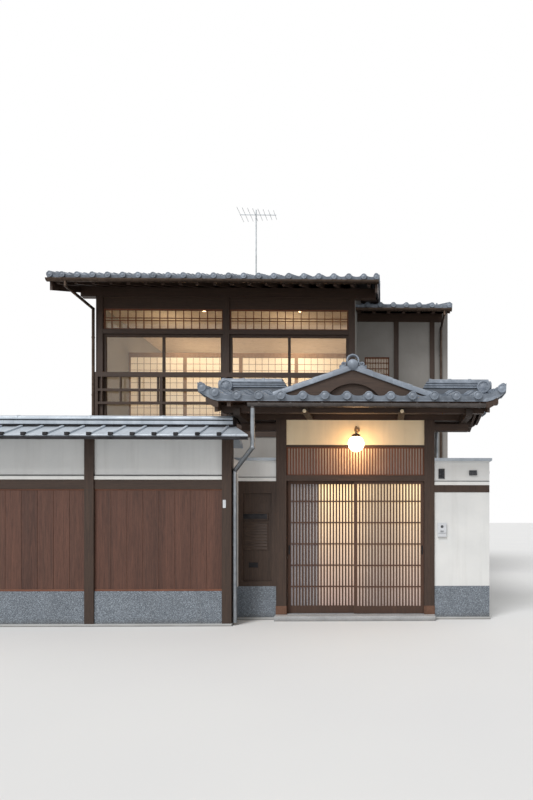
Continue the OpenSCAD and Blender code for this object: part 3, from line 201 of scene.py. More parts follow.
# Worn edges: where a rounded normal leaves the flat one, broken up by noise
def makeWearGroup():
    group, given, out = newGroup(
        "Edge wear",
        [("Color", colorSocket, middleGrey), ("Worn", colorSocket, (0.7, 0.7, 0.7, 1)),
         ("Vector", vectorSocket, None), ("Amount", floatSocket, 0.5), ("Width", floatSocket, 0.006)],
        [("Color", colorSocket)])
    rounded = addNode(group, "ShaderNodeBevel", {"Radius": given["Width"]}, samples=4)
    flat = addNode(group, "ShaderNodeNewGeometry")
    agreement = vectorMath(group, "DOT_PRODUCT", rounded.outputs[0], flat.outputs["Normal"])
    edge = spreadRange(group, agreement, 0.99, 0.8)
    broken = spreadRange(group, noiseValue(group, given["Vector"], 14.0, 4.0), 0.42, 0.62)
    mask = doMath(group, "MULTIPLY", doMath(group, "MULTIPLY", edge, broken), given["Amount"], clamp=True)
    feed(group, out["Color"], mixColors(group, mask, given["Color"], given["Worn"]))
    return group


# Weather: rain streaks down the face, splashed soil near the ground and dust on ledges
def makeWeatherGroup():
    group, given, out = newGroup(
        "Weather",
        [("Color", colorSocket, middleGrey), ("Soil", colorSocket, "4b4640"), ("Dust", colorSocket, "a39d92"),
         ("Vector", vectorSocket, None), ("Streaks", floatSocket, 0.3), ("Splash Height", floatSocket, 0.3),
         ("Dusting", floatSocket, 0.3)],
        [("Color", colorSocket)])
    drawn = vectorMath(group, "MULTIPLY", given["Vector"], (9, 9, 0.7))
    streak = spreadRange(group, noiseValue(group, drawn, 1.0, 5.0, 0.6), 0.5, 0.75)
    streak = doMath(group, "MULTIPLY", streak, given["Streaks"])
    lowered = doMath(group, "DIVIDE", splitAxes(group, given["Vector"])["Z"], given["Splash Height"])
    ragged = noiseValue(group, given["Vector"], 5.0, 5.0, 0.6)
    splash = doMath(group, "SUBTRACT", doMath(group, "ADD", ragged, 0.55), lowered, clamp=True)
    soiled = doMath(group, "MAXIMUM", streak, doMath(group, "MULTIPLY", splash, 0.5))
    color = mixColors(group, soiled, given["Color"], given["Soil"])
    surface = addNode(group, "ShaderNodeNewGeometry")
    ledge = spreadRange(group, splitAxes(group, surface.outputs["Normal"])["Z"], 0.6, 0.98)
    patch = spreadRange(group, noiseValue(group, given["Vector"], 7.0, 4.0), 0.35, 0.7)
    dust = doMath(group, "MULTIPLY", doMath(group, "MULTIPLY", ledge, patch), given["Dusting"])
    feed(group, out["Color"], mixColors(group, dust, color, given["Dust"]))
    return group


# Aggregate: pebbles or crystals of three colours in a paler or darker matrix
def makeAggregateGroup():
    group, given, out = newGroup(
        "Aggregate",
        [("Vector", vectorSocket, None), ("Stones", floatSocket, 170.0), ("Matrix", colorSocket, "8d8c88"),
         ("First", colorSocket, "b9b9b6"), ("Second", colorSocket, "6d7074"),
         ("Third", colorSocket, "3f4144")],
        [("Color", colorSocket), ("Height", floatSocket)])
    cells = addNode(group, "ShaderNodeTexVoronoi", {"Vector": given["Vector"], "Scale": given["Stones"]},
                    feature="F1").outputs
    pick = addNode(group, "ShaderNodeSeparateColor", {0: cells["Color"]}).outputs
    stone = mixColors(group, spreadRange(group, pick[0], 0.3, 0.45), given["First"], given["Second"])
    stone = mixColors(group, spreadRange(group, pick[0], 0.78, 0.84), stone, given["Third"])
    body = spreadRange(group, cells["Distance"], 0.34, 0.52, 1.0, 0.0)
    shown = doMath(group, "MULTIPLY", body, spreadRange(group, pick[1], 0.15, 0.3))
    tone = spreadRange(group, noiseValue(group, given["Vector"], 3.0, 4.0), 0.3, 0.7, 0.88, 1.08)
    color = mixColors(group, shown, given["Matrix"], stone)
    feed(group, out["Color"], mixColors(group, 1.0, color, tone, "MULTIPLY"))
    feed(group, out["Height"], shown)
    return group


# Tone of each single tile or board, kept on its faces by the mesh maker
def makeToneGroup():
    group, given, out = newGroup(
        "Single tone", [("Color", colorSocket, middleGrey), ("Spread", floatSocket, 0.3)],
        [("Color", colorSocket)])
    tone = addNode(group, "ShaderNodeAttribute", attribute_type="GEOMETRY", attribute_name="tone")
    swing = doMath(group, "MULTIPLY", doMath(group, "SUBTRACT", tone.outputs["Fac"], 0.5), given["Spread"])
    factor = doMath(group, "ADD", swing, 1.0)
    feed(group, out["Color"], mixColors(group, 1.0, given["Color"], factor, "MULTIPLY"))
    return group


grainGroup = makeGrainGroup()
wearGroup = makeWearGroup()
weatherGroup = makeWeatherGroup()
aggregateGroup = makeAggregateGroup()
toneGroup = makeToneGroup()


def useGroup(tree, group, values):
    return addNode(tree, "ShaderNodeGroup", values, node_tree=group).outputs


def weathered(tree, place, color, streaks, splash, dusting, **colors):
    # splash is the height that soil reaches; colors may name Soil and Dust
    return useGroup(tree, weatherGroup, {
        "Vector": place, "Color": color, "Streaks": streaks, "Splash Height": splash, "Dusting": dusting,
        **colors})["Color"]


def wornEdges(tree, place, color, worn, amount, width):
    return useGroup(tree, wearGroup, {
        "Vector": place, "Color": color, "Worn": worn, "Amount": amount, "Width": width})["Color"]


def setSurface(tree, shader, bump=None, **values):
    # Feeds the shader's sockets, Base_Color for Base Color; bump is a height, its strength and its distance
    for key, value in values.items():
        feed(tree, shader.inputs[key.replace("_", " ")], value)
    if bump:
        made = addNode(tree, "ShaderNodeBump", dict(zip(("Height", "Strength", "Distance"), bump)))
        feed(tree, shader.inputs["Normal"], made.outputs[0])


def newMaterial(name, **constants):
    # A material with its Principled shader and object coordinates
    material = bpy.data.materials.new(name)
    material.use_nodes = True
    tree = material.node_tree
    shader = tree.nodes["Principled BSDF"]
    setSurface(tree, shader, **constants)
    place = addNode(tree, "ShaderNodeTexCoord").outputs["Object"]
    return material, tree, shader, place


# Each timber's light, dark and worn colours, shade being the dark timber made darker as painted shade for the
# arms under the eave; fibre and along stretch the grain across and along the timber
woodLooks = {
    "dark": ("4b392e", "231a16", "7c6552"), "red": ("85533c", "43261c", "b07c5a"),
    "board": ("674538", "2e1e19", "84604c"), "floor": ("80634a", "4d3929", "97795c"),
    "cedar": ("b3957a", "7f664f", "c4a88c"), "shade": ("3a2e27", "1d1613", "5d4c3f"),
    "leaf": ("5c3f30", "2f2019", "8a664c"), "fibre": 34.0, "along": 1.5,
}


def woodMaterial(name, kind, along, boards=None, toned=False, above=None):
    # along is the direction of the grain; boards gives a start and width where boards lie side by side in X;
    # above gives a level with the paler colours of the timber over it
    material, tree, shader, place = newMaterial(name, Specular_IOR_Level=0.35)
    light, dark, worn = woodLooks[kind]
    stretch = [woodLooks["fibre"]] * 3
    stretch["XYZ".index(along)] = woodLooks["along"]
    values = {"Vector": place, "Stretch": stretch, "Light": light, "Dark": dark}
    axes = splitAxes(tree, place)
    if above:
        level = pastEdge(tree, axes["Z"], above[0])
        values["Light"] = mixColors(tree, level, light, above[1])
        values["Dark"] = mixColors(tree, level, dark, above[2])
    if boards:
        number = doMath(tree, "FLOOR", doMath(tree, "DIVIDE", doMath(
            tree, "SUBTRACT", axes["X"], boards["start"]), boards["width"]))
        values["Tone"] = addNode(
            tree, "ShaderNodeTexWhiteNoise", {"W": number}, noise_dimensions="1D").outputs["Value"]
    wood = useGroup(tree, grainGroup, values)
    color = wood["Color"]
    if toned:
        color = useGroup(tree, toneGroup, {"Spread": 0.5, "Color": color})["Color"]
    color = weathered(tree, place, color, 0.22, 0.35, 0.25, Soil="3d332d")
    setSurface(tree, shader, (wood["Height"], 0.45, 0.0015),
               Base_Color=wornEdges(tree, place, color, worn, 0.35, 0.005), Roughness=wood["Roughness"])
    return material


tileLooks = {
    "face": "828b97", "smoke": "666e79", "bloom": "aab5c1", "soil": "4a4c4b",
    "roughness": (0.40, 0.58), "toneSpread": 0.42,
}


def tileMaterial(name, toned):
    # Smoked clay: silver grey, a different shade for each tile, with soot in patches and pale bloom
    material, tree, shader, place = newMaterial(name, Specular_IOR_Level=0.5, Metallic=0.08)
    cloud = spreadRange(tree, noiseValue(tree, place, 5.0, 5.0, 0.6, 0.4), 0.35, 0.7)
    color = mixColors(tree, cloud, tileLooks["face"], tileLooks["smoke"])
    bloom = spreadRange(tree, noiseValue(tree, place, 16.0, 4.0, 0.62), 0.52, 0.72, 0.0, 0.4)
    color = mixColors(tree, bloom, color, tileLooks["bloom"])
    if toned:
        color = useGroup(tree, toneGroup, {"Spread": tileLooks["toneSpread"], "Color": color})["Color"]
    color = weathered(tree, place, color, 0.25, 0.01, 0.12, Soil=tileLooks["soil"])
    sheen = spreadRange(tree, noiseValue(tree, place, 11.0, 3.0), 0.3, 0.7, *tileLooks["roughness"])
    setSurface(tree, shader, (noiseValue(tree, place, 90.0, 4.0, 0.6), 0.25, 0.002),
               Base_Color=wornEdges(tree, place, color, tileLooks["bloom"], 0.45, 0.004), Roughness=sheen)
    return material


def plasterMaterial(name, face, shade, trowel=0.35, outer=None):
    # Lime or clay plaster: fine sand, trowel clouds and rain marks; where outer is given, face and shade are
    # painted warm lamplight inside the gateway and outer gives the plaster's own colours away from it
    material, tree, shader, place = newMaterial(name, Roughness=0.85, Specular_IOR_Level=0.25)
    cloud = spreadRange(tree, noiseValue(tree, place, 1.9, 6.0, 0.6, 0.2), 0.25, 0.78)
    color = mixColors(tree, cloud, face, shade)
    if outer:
        away = doMath(tree, "ABSOLUTE", splitAxes(tree, place)["X"])
        color = mixColors(tree, pastEdge(tree, away, gateSide, 0.02), color, mixColors(tree, cloud, *outer))
    sand = noiseValue(tree, place, 240.0, 3.0, 0.7)
    sweep = noiseValue(tree, place, 6.0, 4.0, 0.6, 0.5)
    setSurface(tree, shader, (doMath(tree, "MULTIPLY_ADD", sweep, trowel * 4, sand), 0.3, 0.0018),
               Base_Color=weathered(tree, place, color, 0.12, 0.02, 0.2, Soil="77716a"))
    return material


def gravelMaterial():
    material, tree, shader, place = newMaterial("Washed gravel", Roughness=0.7, Specular_IOR_Level=0.4)
    stones = useGroup(tree, aggregateGroup, {
        "Vector": place, "Stones": 120.0, "Matrix": "70777f", "First": "a5aeb6", "Second": "565e67",
        "Third": "282d34"})
    setSurface(tree, shader, (stones["Height"], 0.55, 0.002),
               Base_Color=weathered(tree, place, stones["Color"], 0.1, 0.09, 0.1, Soil="55524c"))
    return material


def graniteMaterial():
    material, tree, shader, place = newMaterial("Sawn granite", Roughness=0.5, Specular_IOR_Level=0.45)
    stones = useGroup(tree, aggregateGroup, {
        "Vector": place, "Stones": 330.0, "Matrix": "a9aaab", "First": "c6c6c4", "Second": "8c8e91",
        "Third": "4b4d50"})
    color = wornEdges(tree, place, stones["Color"], "c9c8c4", 0.5, 0.006)
    setSurface(tree, shader, (noiseValue(tree, place, 160.0, 4.0), 0.2, 0.0015),
               Base_Color=weathered(tree, place, color, 0.1, 0.05, 0.25))
    return material


def metalMaterial(name, face, shade, roughness, metallic=1.0, above=None):
    # Sheet or tube metal, dulled in patches; above gives a level, and the colours of the metal over it
    material, tree, shader, place = newMaterial(name, Metallic=metallic)
    patch = spreadRange(tree, noiseValue(tree, place, 9.0, 5.0, 0.62, 0.5), 0.35, 0.68)
    dulled = doMath(tree, "MULTIPLY", patch, 0.5)
    color = mixColors(tree, dulled, face, shade)
    if above:
        level = pastEdge(tree, splitAxes(tree, place)["Z"], above[0])
        color = mixColors(tree, level, color, mixColors(tree, dulled, above[1], above[2]))
    setSurface(tree, shader, (noiseValue(tree, place, 60.0, 3.0), 0.12, 0.001),
               Base_Color=wornEdges(tree, place, color, face, 0.5, 0.003),
               Roughness=spreadRange(tree, patch, 0.0, 1.0, roughness, roughness + 0.25))
    return material


def plasticMaterial(name, face):
    material, tree, shader, place = newMaterial(name, Specular_IOR_Level=0.5)
    speck = spreadRange(tree, noiseValue(tree, place, 30.0, 4.0), 0.4, 0.75, 0.0, 0.3)
    setSurface(tree, shader, (noiseValue(tree, place, 400.0, 2.0), 0.1, 0.0005),
               Base_Color=mixColors(tree, speck, face, "8d8f92"),
               Roughness=spreadRange(tree, speck, 0.0, 0.3, 0.4, 0.6))
    return material


def clearGlassMaterial():
    # Old drawn window glass, very slightly wavy
    material, tree, shader, place = newMaterial(
        "Window glass", Transmission_Weight=1.0, IOR=1.45, Specular_IOR_Level=0.5)
    smear = spreadRange(tree, noiseValue(tree, place, 4.0, 4.0), 0.45, 0.8, 0.0, 0.05)
    setSurface(tree, shader, (noiseValue(tree, place, 2.2, 2.0), 0.05, 0.004),
               Base_Color=mixColors(tree, smear, "f4f8fa", "c7d0d4"), Roughness=smear)
    return material


# Emission strengths of the lamps, and of the painted glow on the paper and the frosted panes; a pane has
# painted bright places, each with its middle in X, half width and strength, and dim is its painted shade past
# edge
glowLooks = {
    "paper": 0.30, "duskyPaper": 0.10, "globe": 24.0, "downlight": 12.0,
    "leaf": {"strength": 1.2, "low": "bc948a", "high": "ffd899", "dim": "302d38", "edge": -0.49,
             "lowShare": 0.40, "lowZ": 0.15, "highZ": 1.75, "base": 0.42,
             "lobes": ((-0.24, 0.33, 1.0), (0.80, 0.26, 0.80))},
    "transom": {"strength": 0.75, "low": "d9935c", "high": "ffcf86", "dim": "3a2a22", "edge": -1.2,
                "lowShare": 0.62, "lowZ": 1.9, "highZ": 2.35, "base": 0.10, "lobes": ((-0.05, 0.34, 1.0),)},
}


def paneMaterial(name, look):
    # Frosted glass before a lit passage, its light painted on as glow: soft painted bright places, yellow
    # above and rosy below, painted shade past one edge, and a paler base colour where the painted glow is
    material, tree, shader, place = newMaterial(
        name, Roughness=0.35, Specular_IOR_Level=0.5, Emission_Strength=look["strength"])
    axes = splitAxes(tree, place)
    cloud = doMath(tree, "SUBTRACT", noiseValue(tree, place, 2.3, 3.0), 0.5)
    glow = look["base"]
    for middle, half, strength in look["lobes"]:
        away = doMath(tree, "ABSOLUTE", doMath(tree, "SUBTRACT", axes["X"], middle))
        away = doMath(tree, "ADD", away, doMath(tree, "MULTIPLY", cloud, half * 0.8))
        lobe = spreadRange(tree, away, half * 0.45, half * 1.5, strength, look["base"])
        glow = doMath(tree, "MAXIMUM", glow, lobe)
    level = spreadRange(tree, axes["Z"], look["lowZ"], look["highZ"])
    share = spreadRange(tree, level, 0.0, 1.0, look["lowShare"], 1.0)
    glow = doMath(tree, "MULTIPLY", glow, share, clamp=True)
    shaded = mixColors(tree, glow, "2b2320", mixColors(tree, level, look["low"], look["high"]))
    ragged = doMath(tree, "ADD", axes["X"], doMath(tree, "MULTIPLY", cloud, 0.02))
    beyond = spreadRange(tree, ragged, look["edge"] - 0.03, look["edge"] + 0.01, 1.0, 0.0)
    setSurface(tree, shader, (noiseValue(tree, place, 180.0, 3.0), 0.25, 0.001),
               Emission_Color=mixColors(tree, beyond, shaded, look["dim"]),
               Base_Color=mixColors(tree, glow, "8d8a88", "d8cfc2"))
    return material


def paperMaterial(name, strength, thin, thick):
    # Paper lit from behind: its emission is painted glow, in soft warm clouds
    material, tree, shader, place = newMaterial(
        name, Roughness=0.9, Specular_IOR_Level=0.2, Emission_Strength=strength)
    fibres = spreadRange(tree, noiseValue(tree, place, 45.0, 6.0, 0.7, 1.5), 0.4, 0.7)
    cloud = spreadRange(tree, noiseValue(tree, place, 1.3, 3.0), 0.3, 0.7)
    color = mixColors(tree, fibres, thick, thin)
    setSurface(tree, shader, (fibres, 0.15, 0.0008),
               Base_Color=mixColors(tree, doMath(tree, "MULTIPLY", cloud, 0.35), color, "e0cfb4"),
               Emission_Color=mixColors(tree, cloud, "ffdcae", "f2c795"))
    return material


def lampMaterial(name, strength):
    material, tree, shader, place = newMaterial(name, Roughness=0.25, Emission_Strength=strength)
    swirl = spreadRange(tree, noiseValue(tree, place, 8.0, 3.0), 0.3, 0.7)
    setSurface(tree, shader, Emission_Color=mixColors(tree, swirl, "ffd29a", "ffc588"),
               Base_Color=mixColors(tree, swirl, "fbf6ea", "f3ead6"))
    return material


def sheetMetalMaterial():
    # Painted seam-roof sheet: pale grey, chalky in patches, faint runs down the slope
    material, tree, shader, place = newMaterial("Painted roof sheet", Metallic=0.2, Specular_IOR_Level=0.5)
    patch = spreadRange(tree, noiseValue(tree, place, 4.0, 5.0, 0.6, 0.6), 0.35, 0.7)
    color = mixColors(tree, patch, "bcc4cc", "a3acb6")
    drawn = vectorMath(tree, "MULTIPLY", place, (34, 2.2, 2.2))
    run = spreadRange(tree, noiseValue(tree, drawn, 1.0, 4.0, 0.6), 0.5, 0.75, 0.0, 0.35)
    color = weathered(tree, place, mixColors(tree, run, color, "858d96"), 0.1, 0.01, 0.2, Dust="b5b9bc")
    setSurface(tree, shader, (noiseValue(tree, place, 7.0, 3.0), 0.12, 0.004),
               Base_Color=wornEdges(tree, place, color, "c3c9cf", 0.5, 0.003),
               Roughness=spreadRange(tree, patch, 0.0, 1.0, 0.36, 0.55))
    return material


postWidth = {"gate": 0.135, "wall": 0.115}
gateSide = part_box("gate_posts")[1].x
wallPosts = (-4.985, -3.285, -1.585)  # middles of the street wall's posts
wallBoards = {"start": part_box("street_wall_boards")[0].x, "width": (1.70 - postWidth["wall"]) / 8}

darkPost = woodMaterial("Dark timber upright", "dark", "Z")
darkBeam = woodMaterial("Dark timber level", "dark", "X")
darkRafter = woodMaterial("Dark timber to the street", "dark", "Y")
redPost = woodMaterial("Red timber upright", "red", "Z")
redBeam = woodMaterial("Red timber level", "red", "X")
leafPost = woodMaterial("Brown door timber", "leaf", "Z")
leafBeam = woodMaterial("Brown timber level", "leaf", "X", toned=True)
cedarPost = woodMaterial("Pale cedar of the screens", "cedar", "Z")
# The arms' timber is darker than the other dark timber: painted shade under the eave
shadeRafter = woodMaterial("Dark timber of the arms, painted shade", "shade", "Y")
floorWood = woodMaterial("Floor and ceiling boards", "floor", "X", above=(5.3, "d8cab8", "b5a38f"))
redBoards = woodMaterial("Dark cedar boards", "board", "Z", boards=wallBoards)
roofTile = tileMaterial("Smoked roof tile", True)
roofSlab = tileMaterial("Smoked tile bed", False)
roofMortar = plasterMaterial("Dark roof mortar", "686c72", "54585e")
roofSheet = sheetMetalMaterial()
# Its cream colours are painted warm lamplight on the plaster of the gateway; outer holds the plaster's own
# colours beside it
lampWarmedPlaster = plasterMaterial("Plaster warmed by painted lamplight", "ecdbbd", "dccaa8", outer=("dddddb", "cecfce"))
whitePlaster = plasterMaterial("White plaster", "dfdfdc", "d0d1cf")
clayPlaster = plasterMaterial("Grey clay plaster", "979490", "878480", trowel=0.15)
limeBead = plasterMaterial("Fresh lime bead", "e9e9e6", "dededb")
paleConcrete = plasterMaterial("Pale concrete", "b4b5b4", "9d9e9e")
washedGravel = gravelMaterial()
sawnGranite = graniteMaterial()
bronzeSheet = metalMaterial("Brown copper sheet", "564940", "302a25", 0.40)
copperShoe = metalMaterial("Dark copper shoe", "7f6152", "54433a", 0.45)
greyGutter = metalMaterial("Grey gutter sheet", "999ea3", "666b70", 0.34, above=(2.66, "625d5b", "3d3a39"))
darkMetal = metalMaterial("Blackened metal and painted shade", "3b3a3c", "222122", 0.5)
brassCap = metalMaterial("Aged brass", "c2b39a", "8c7a60", 0.32)
lampBrass = metalMaterial("Brown brass of the lamp", "a08262", "6b533d", 0.40, metallic=0.7)
steelRail = metalMaterial("Steel rail", "b9bcc0", "8a8d90", 0.3)
lightMetal = metalMaterial("Weathered light metal", "b4b8bb", "878b8e", 0.42)
deviceShell = plasticMaterial("Device shell", "c9ccd0")
darkShell = plasticMaterial("Dark device shell", "2b2d31")
windowGlass = clearGlassMaterial()
leafPane = paneMaterial("Lit frosted glass", glowLooks["leaf"])
transomGlow = paneMaterial("Lit frosted glass over the doors", glowLooks["transom"])
# Both papers glow with painted light; the wing's dusky paper is a dimmer copy, its darker colours painted
# shade
screenPaper = paperMaterial("Screen paper", glowLooks["paper"], "f8f1e4", "efe6d6")
duskyPaper = paperMaterial("Dusky window paper", glowLooks["duskyPaper"], "b09c92", "a08b82")
globeGlass = lampMaterial("Lit opal glass", glowLooks["globe"])
downlightGlass = lampMaterial("Lit downlight", glowLooks["downlight"])
print("materials ready")

nodeFinish = {
    "gate_threshold house_plinth": sawnGranite,
    "gate_door_rails": steelRail,
    "gate_posts sleeve_frames street_wall_posts front_posts window_sashes": darkPost,
    "gate_beams gate_purlins gate_gable_front street_wall_rails front_beams railing roof_beams": darkBeam,
    "house_roof_boards": darkBeam,
    "gate_arms": shadeRafter,
    "gate_rafters house_rafters": darkRafter,
    "gate_transom window_lattices house_doors": redPost,
    "gate_transom_pane": transomGlow,
    "gate_door_left gate_door_right": leafPost,
    "gate_door_left_pane gate_door_right_pane": leafPane,
    "gate_roof_boards": leafBeam,
    "gate_roof gate_ridges gate_gable_roof gate_ridge_ends garden_wall_copings": roofSlab,
    "main_roof wing_roof house_ridges": roofSlab,
    "sleeve_copings street_wall_roof street_wall_ridge": roofSheet,
    "gate_lamp": lampBrass,
    "gate_lamp_globe": globeGlass,
    "gate_gutters": greyGutter,
    "house_gutters": bronzeSheet,
    "wall_plinths": washedGravel,
    "wall_plaster": lampWarmedPlaster,
    "garden_walls": whitePlaster,
    "party_wall_left party_wall_right gable_wall_right back_walls front_walls": clayPlaster,
    "street_wall_boards": redBoards,
    "floors": floorWood,
    "inner_screens": cedarPost,
    "screen_paper": screenPaper,
    "window_glass": windowGlass,
    "intercom": deviceShell,
    "aerial": lightMetal,
}


def finishNodes():
    for names, material in nodeFinish.items():
        for name in names.split():
            slots = cadNodes[name].data.materials
            if len(slots):
                for i in range(len(slots)):
                    slots[i] = material
            else:
                slots.append(material)


finishNodes()
print("frame finished")


def anyTone():
    return float(dice.uniform())


class Maker:
    # Gathers closed shapes into one mesh; each shape keeps a tone between 0 and 1 on its faces
    def __init__(self):
        self.points = []
        self.faces = []
        self.tones = []

    def loft(self, rings, tone=0.5):
        # Skin over rings of equal length, capped at both ends
        size, count, start = len(rings[0]), len(rings), len(self.points)
        faces = []
        for i in range(count - 1):
            a, b = start + i * size, start + (i + 1) * size
            faces += [(a + k, a + (k + 1) % size, b + (k + 1) % size, b + k) for k in range(size)]
        faces.append(tuple(start + k for k in range(size))[::-1])
        faces.append(tuple(start + (count - 1) * size + k for k in range(size)))
        self.points.extend(tuple(p) for ring in rings for p in ring)
        self.faces.extend(faces)
        self.tones.extend([tone] * len(faces))

    def box(self, low, high, tone=0.5, ease=0.0):
        # Box between two corners, its edges along the longest side eased
        spans = [high[i] - low[i] for i in range(3)]
        axis = spans.index(max(spans))
        others = [i for i in range(3) if i != axis]
        (a0, b0), (a1, b1) = ([corner[i] for i in others] for corner in (low, high))
        e = min(ease, (a1 - a0) / 3, (b1 - b0) / 3)
        if e > 0:
            outline = [(a0 + e, b0), (a1 - e, b0), (a1, b0 + e), (a1, b1 - e),
                       (a1 - e, b1), (a0 + e, b1), (a0, b1 - e), (a0, b0 + e)]
        else:
            outline = [(a0, b0), (a1, b0), (a1, b1), (a0, b1)]
        rings = []
        for end in (low[axis], high[axis]):
            ring = []
            for a, b in outline:
                p = [0, 0, 0]
                p[axis], p[others[0]], p[others[1]] = end, a, b
                ring.append(p)
            rings.append(ring)
        self.loft(rings, tone)

    def extrude(self, outline, x0, x1, tone=0.5):
        # Bar along X between two ends, from an outline of (y, z) points
        self.loft([[(x, y, z) for y, z in outline] for x in (x0, x1)], tone)

    def circle(self, middle, side, up, radius, steps):
        return [middle + (side * math.cos(t) + up * math.sin(t)) * radius
                for t in np.linspace(0, 2 * math.pi, steps, endpoint=False)]

    def turned(self, centre, axis, outline, steps, tone=0.5):
        # Solid of revolution: outline is a list of (distance along the axis, radius)
        axis = Vector(axis).normalized()
        side = axis.orthogonal().normalized()
        up = axis.cross(side)
        self.loft([self.circle(Vector(centre) + axis * along, side, up, max(radius, 1e-4), steps)
                   for along, radius in outline], tone)

    def tube(self, path, radii, steps):
        # Round rod along a list of points, with a radius for each
        path = [Vector(p) for p in path]
        rings = []
        side = None
        for i, p in enumerate(path):
            ahead = (path[min(i + 1, len(path) - 1)] - path[max(i - 1, 0)]).normalized()
            side = (ahead.orthogonal() if side is None else side - ahead * side.dot(ahead)).normalized()
            rings.append(self.circle(p, side, ahead.cross(side), radii[i], steps))
        self.loft(rings)

    def band(self, centre, inner, outer, near, far, first, last, steps, ease):
        # Curved bar in an upright plane across Y, between two angles; centre is its X and Z, near its front Y
        e = min(ease, (outer - inner) / 3) * (1 if near > far else -1)
        r = abs(e)
        section = [(inner + r, near), (outer - r, near), (outer, near - e), (outer, far),
                   (inner, far), (inner, near - e)]
        rings = [[(centre[0] + reach * math.cos(t), y, centre[1] + reach * math.sin(t))
                  for reach, y in section] for t in np.linspace(first, last, steps + 1)]
        self.loft(rings)


def addPiece(name, maker, material, body="root", smoothAngle=40.0, replaced=()):
    mesh = bpy.data.meshes.new(name)
    mesh.from_pydata(maker.points, [], maker.faces)
    tone = mesh.attributes.new("tone", "FLOAT", "FACE")
    tone.data.foreach_set("value", np.array(maker.tones, np.float32))
    shape = bmesh.new()
    shape.from_mesh(mesh)
    bmesh.ops.recalc_face_normals(shape, faces=shape.faces)
    shape.to_mesh(mesh)
    shape.free()
    mesh.polygons.foreach_set("use_smooth", [True] * len(mesh.polygons))
    mesh.set_sharp_from_angle(angle=math.radians(smoothAngle))
    mesh.materials.append(material)
    piece = bpy.data.objects.new(name, mesh)
    scene.collection.objects.link(piece)
    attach(piece, body)
    if replaced:
        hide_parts(*replaced)
    return piece


# Pantiled roofs
panTile = {
    "thickness": 0.017, "step": 0.018, "rollHeight": 0.040, "rollHalf": 0.0705, "rollRound": 0.65,
    "troughDepth": 0.008, "sideStep": 0.006, "acrossSteps": 14, "headLap": 0.03, "seat": 0.002,
    "jitter": 0.0015, "flatSteps": 4, "least": 0.04, "narrowest": 0.02,
}
eaveTile = {
    "discRadius": 0.053, "discThickness": 0.022, "apronDepth": 0.036, "apronThickness": 0.016,
    "nose": 0.012, "scallop": 0.008, "inset": 0.004,
}
vergeTile = {
    "thickness": 0.018, "seat": 0.006, "lap": 0.004, "rise": 0.03, "drop": 0.075,
    "rollRadius": 0.045, "rollLift": 0.012, "sides": 9,
}


def rollProfile(u, pitch):
    # Height of the tile across its width: a round roll at its left, then a shallow trough
    t = abs(u - panTile["rollHalf"]) / panTile["rollHalf"]
    roll = panTile["rollHeight"] * (0.5 + 0.5 * math.cos(math.pi * min(t, 1.0))) ** panTile["rollRound"]
    trough = (u - 2 * panTile["rollHalf"]) / max(pitch - 2 * panTile["rollHalf"], 0.01)
    dip = panTile["troughDepth"] * math.sin(math.pi * min(max(trough, 0.0), 1.0))
    return roll - dip - panTile["sideStep"] * (u / pitch - 0.5)


def roundEnd(maker, centre, outward, radius, thickness, tone, steps=20):
    # Round tile end with a raised rim, a sunk ring and a low boss
    r, t = radius, thickness
    maker.turned(centre, outward, [
        (0, r * 0.5), (0, r), (t * 0.7, r), (t * 0.9, r * 0.97), (t, r * 0.9), (t, r * 0.8),
        (t * 0.72, r * 0.72), (t * 0.72, r * 0.5), (t * 0.95, r * 0.36), (t * 1.05, r * 0.15),
        (t * 1.07, 0)], steps, tone)


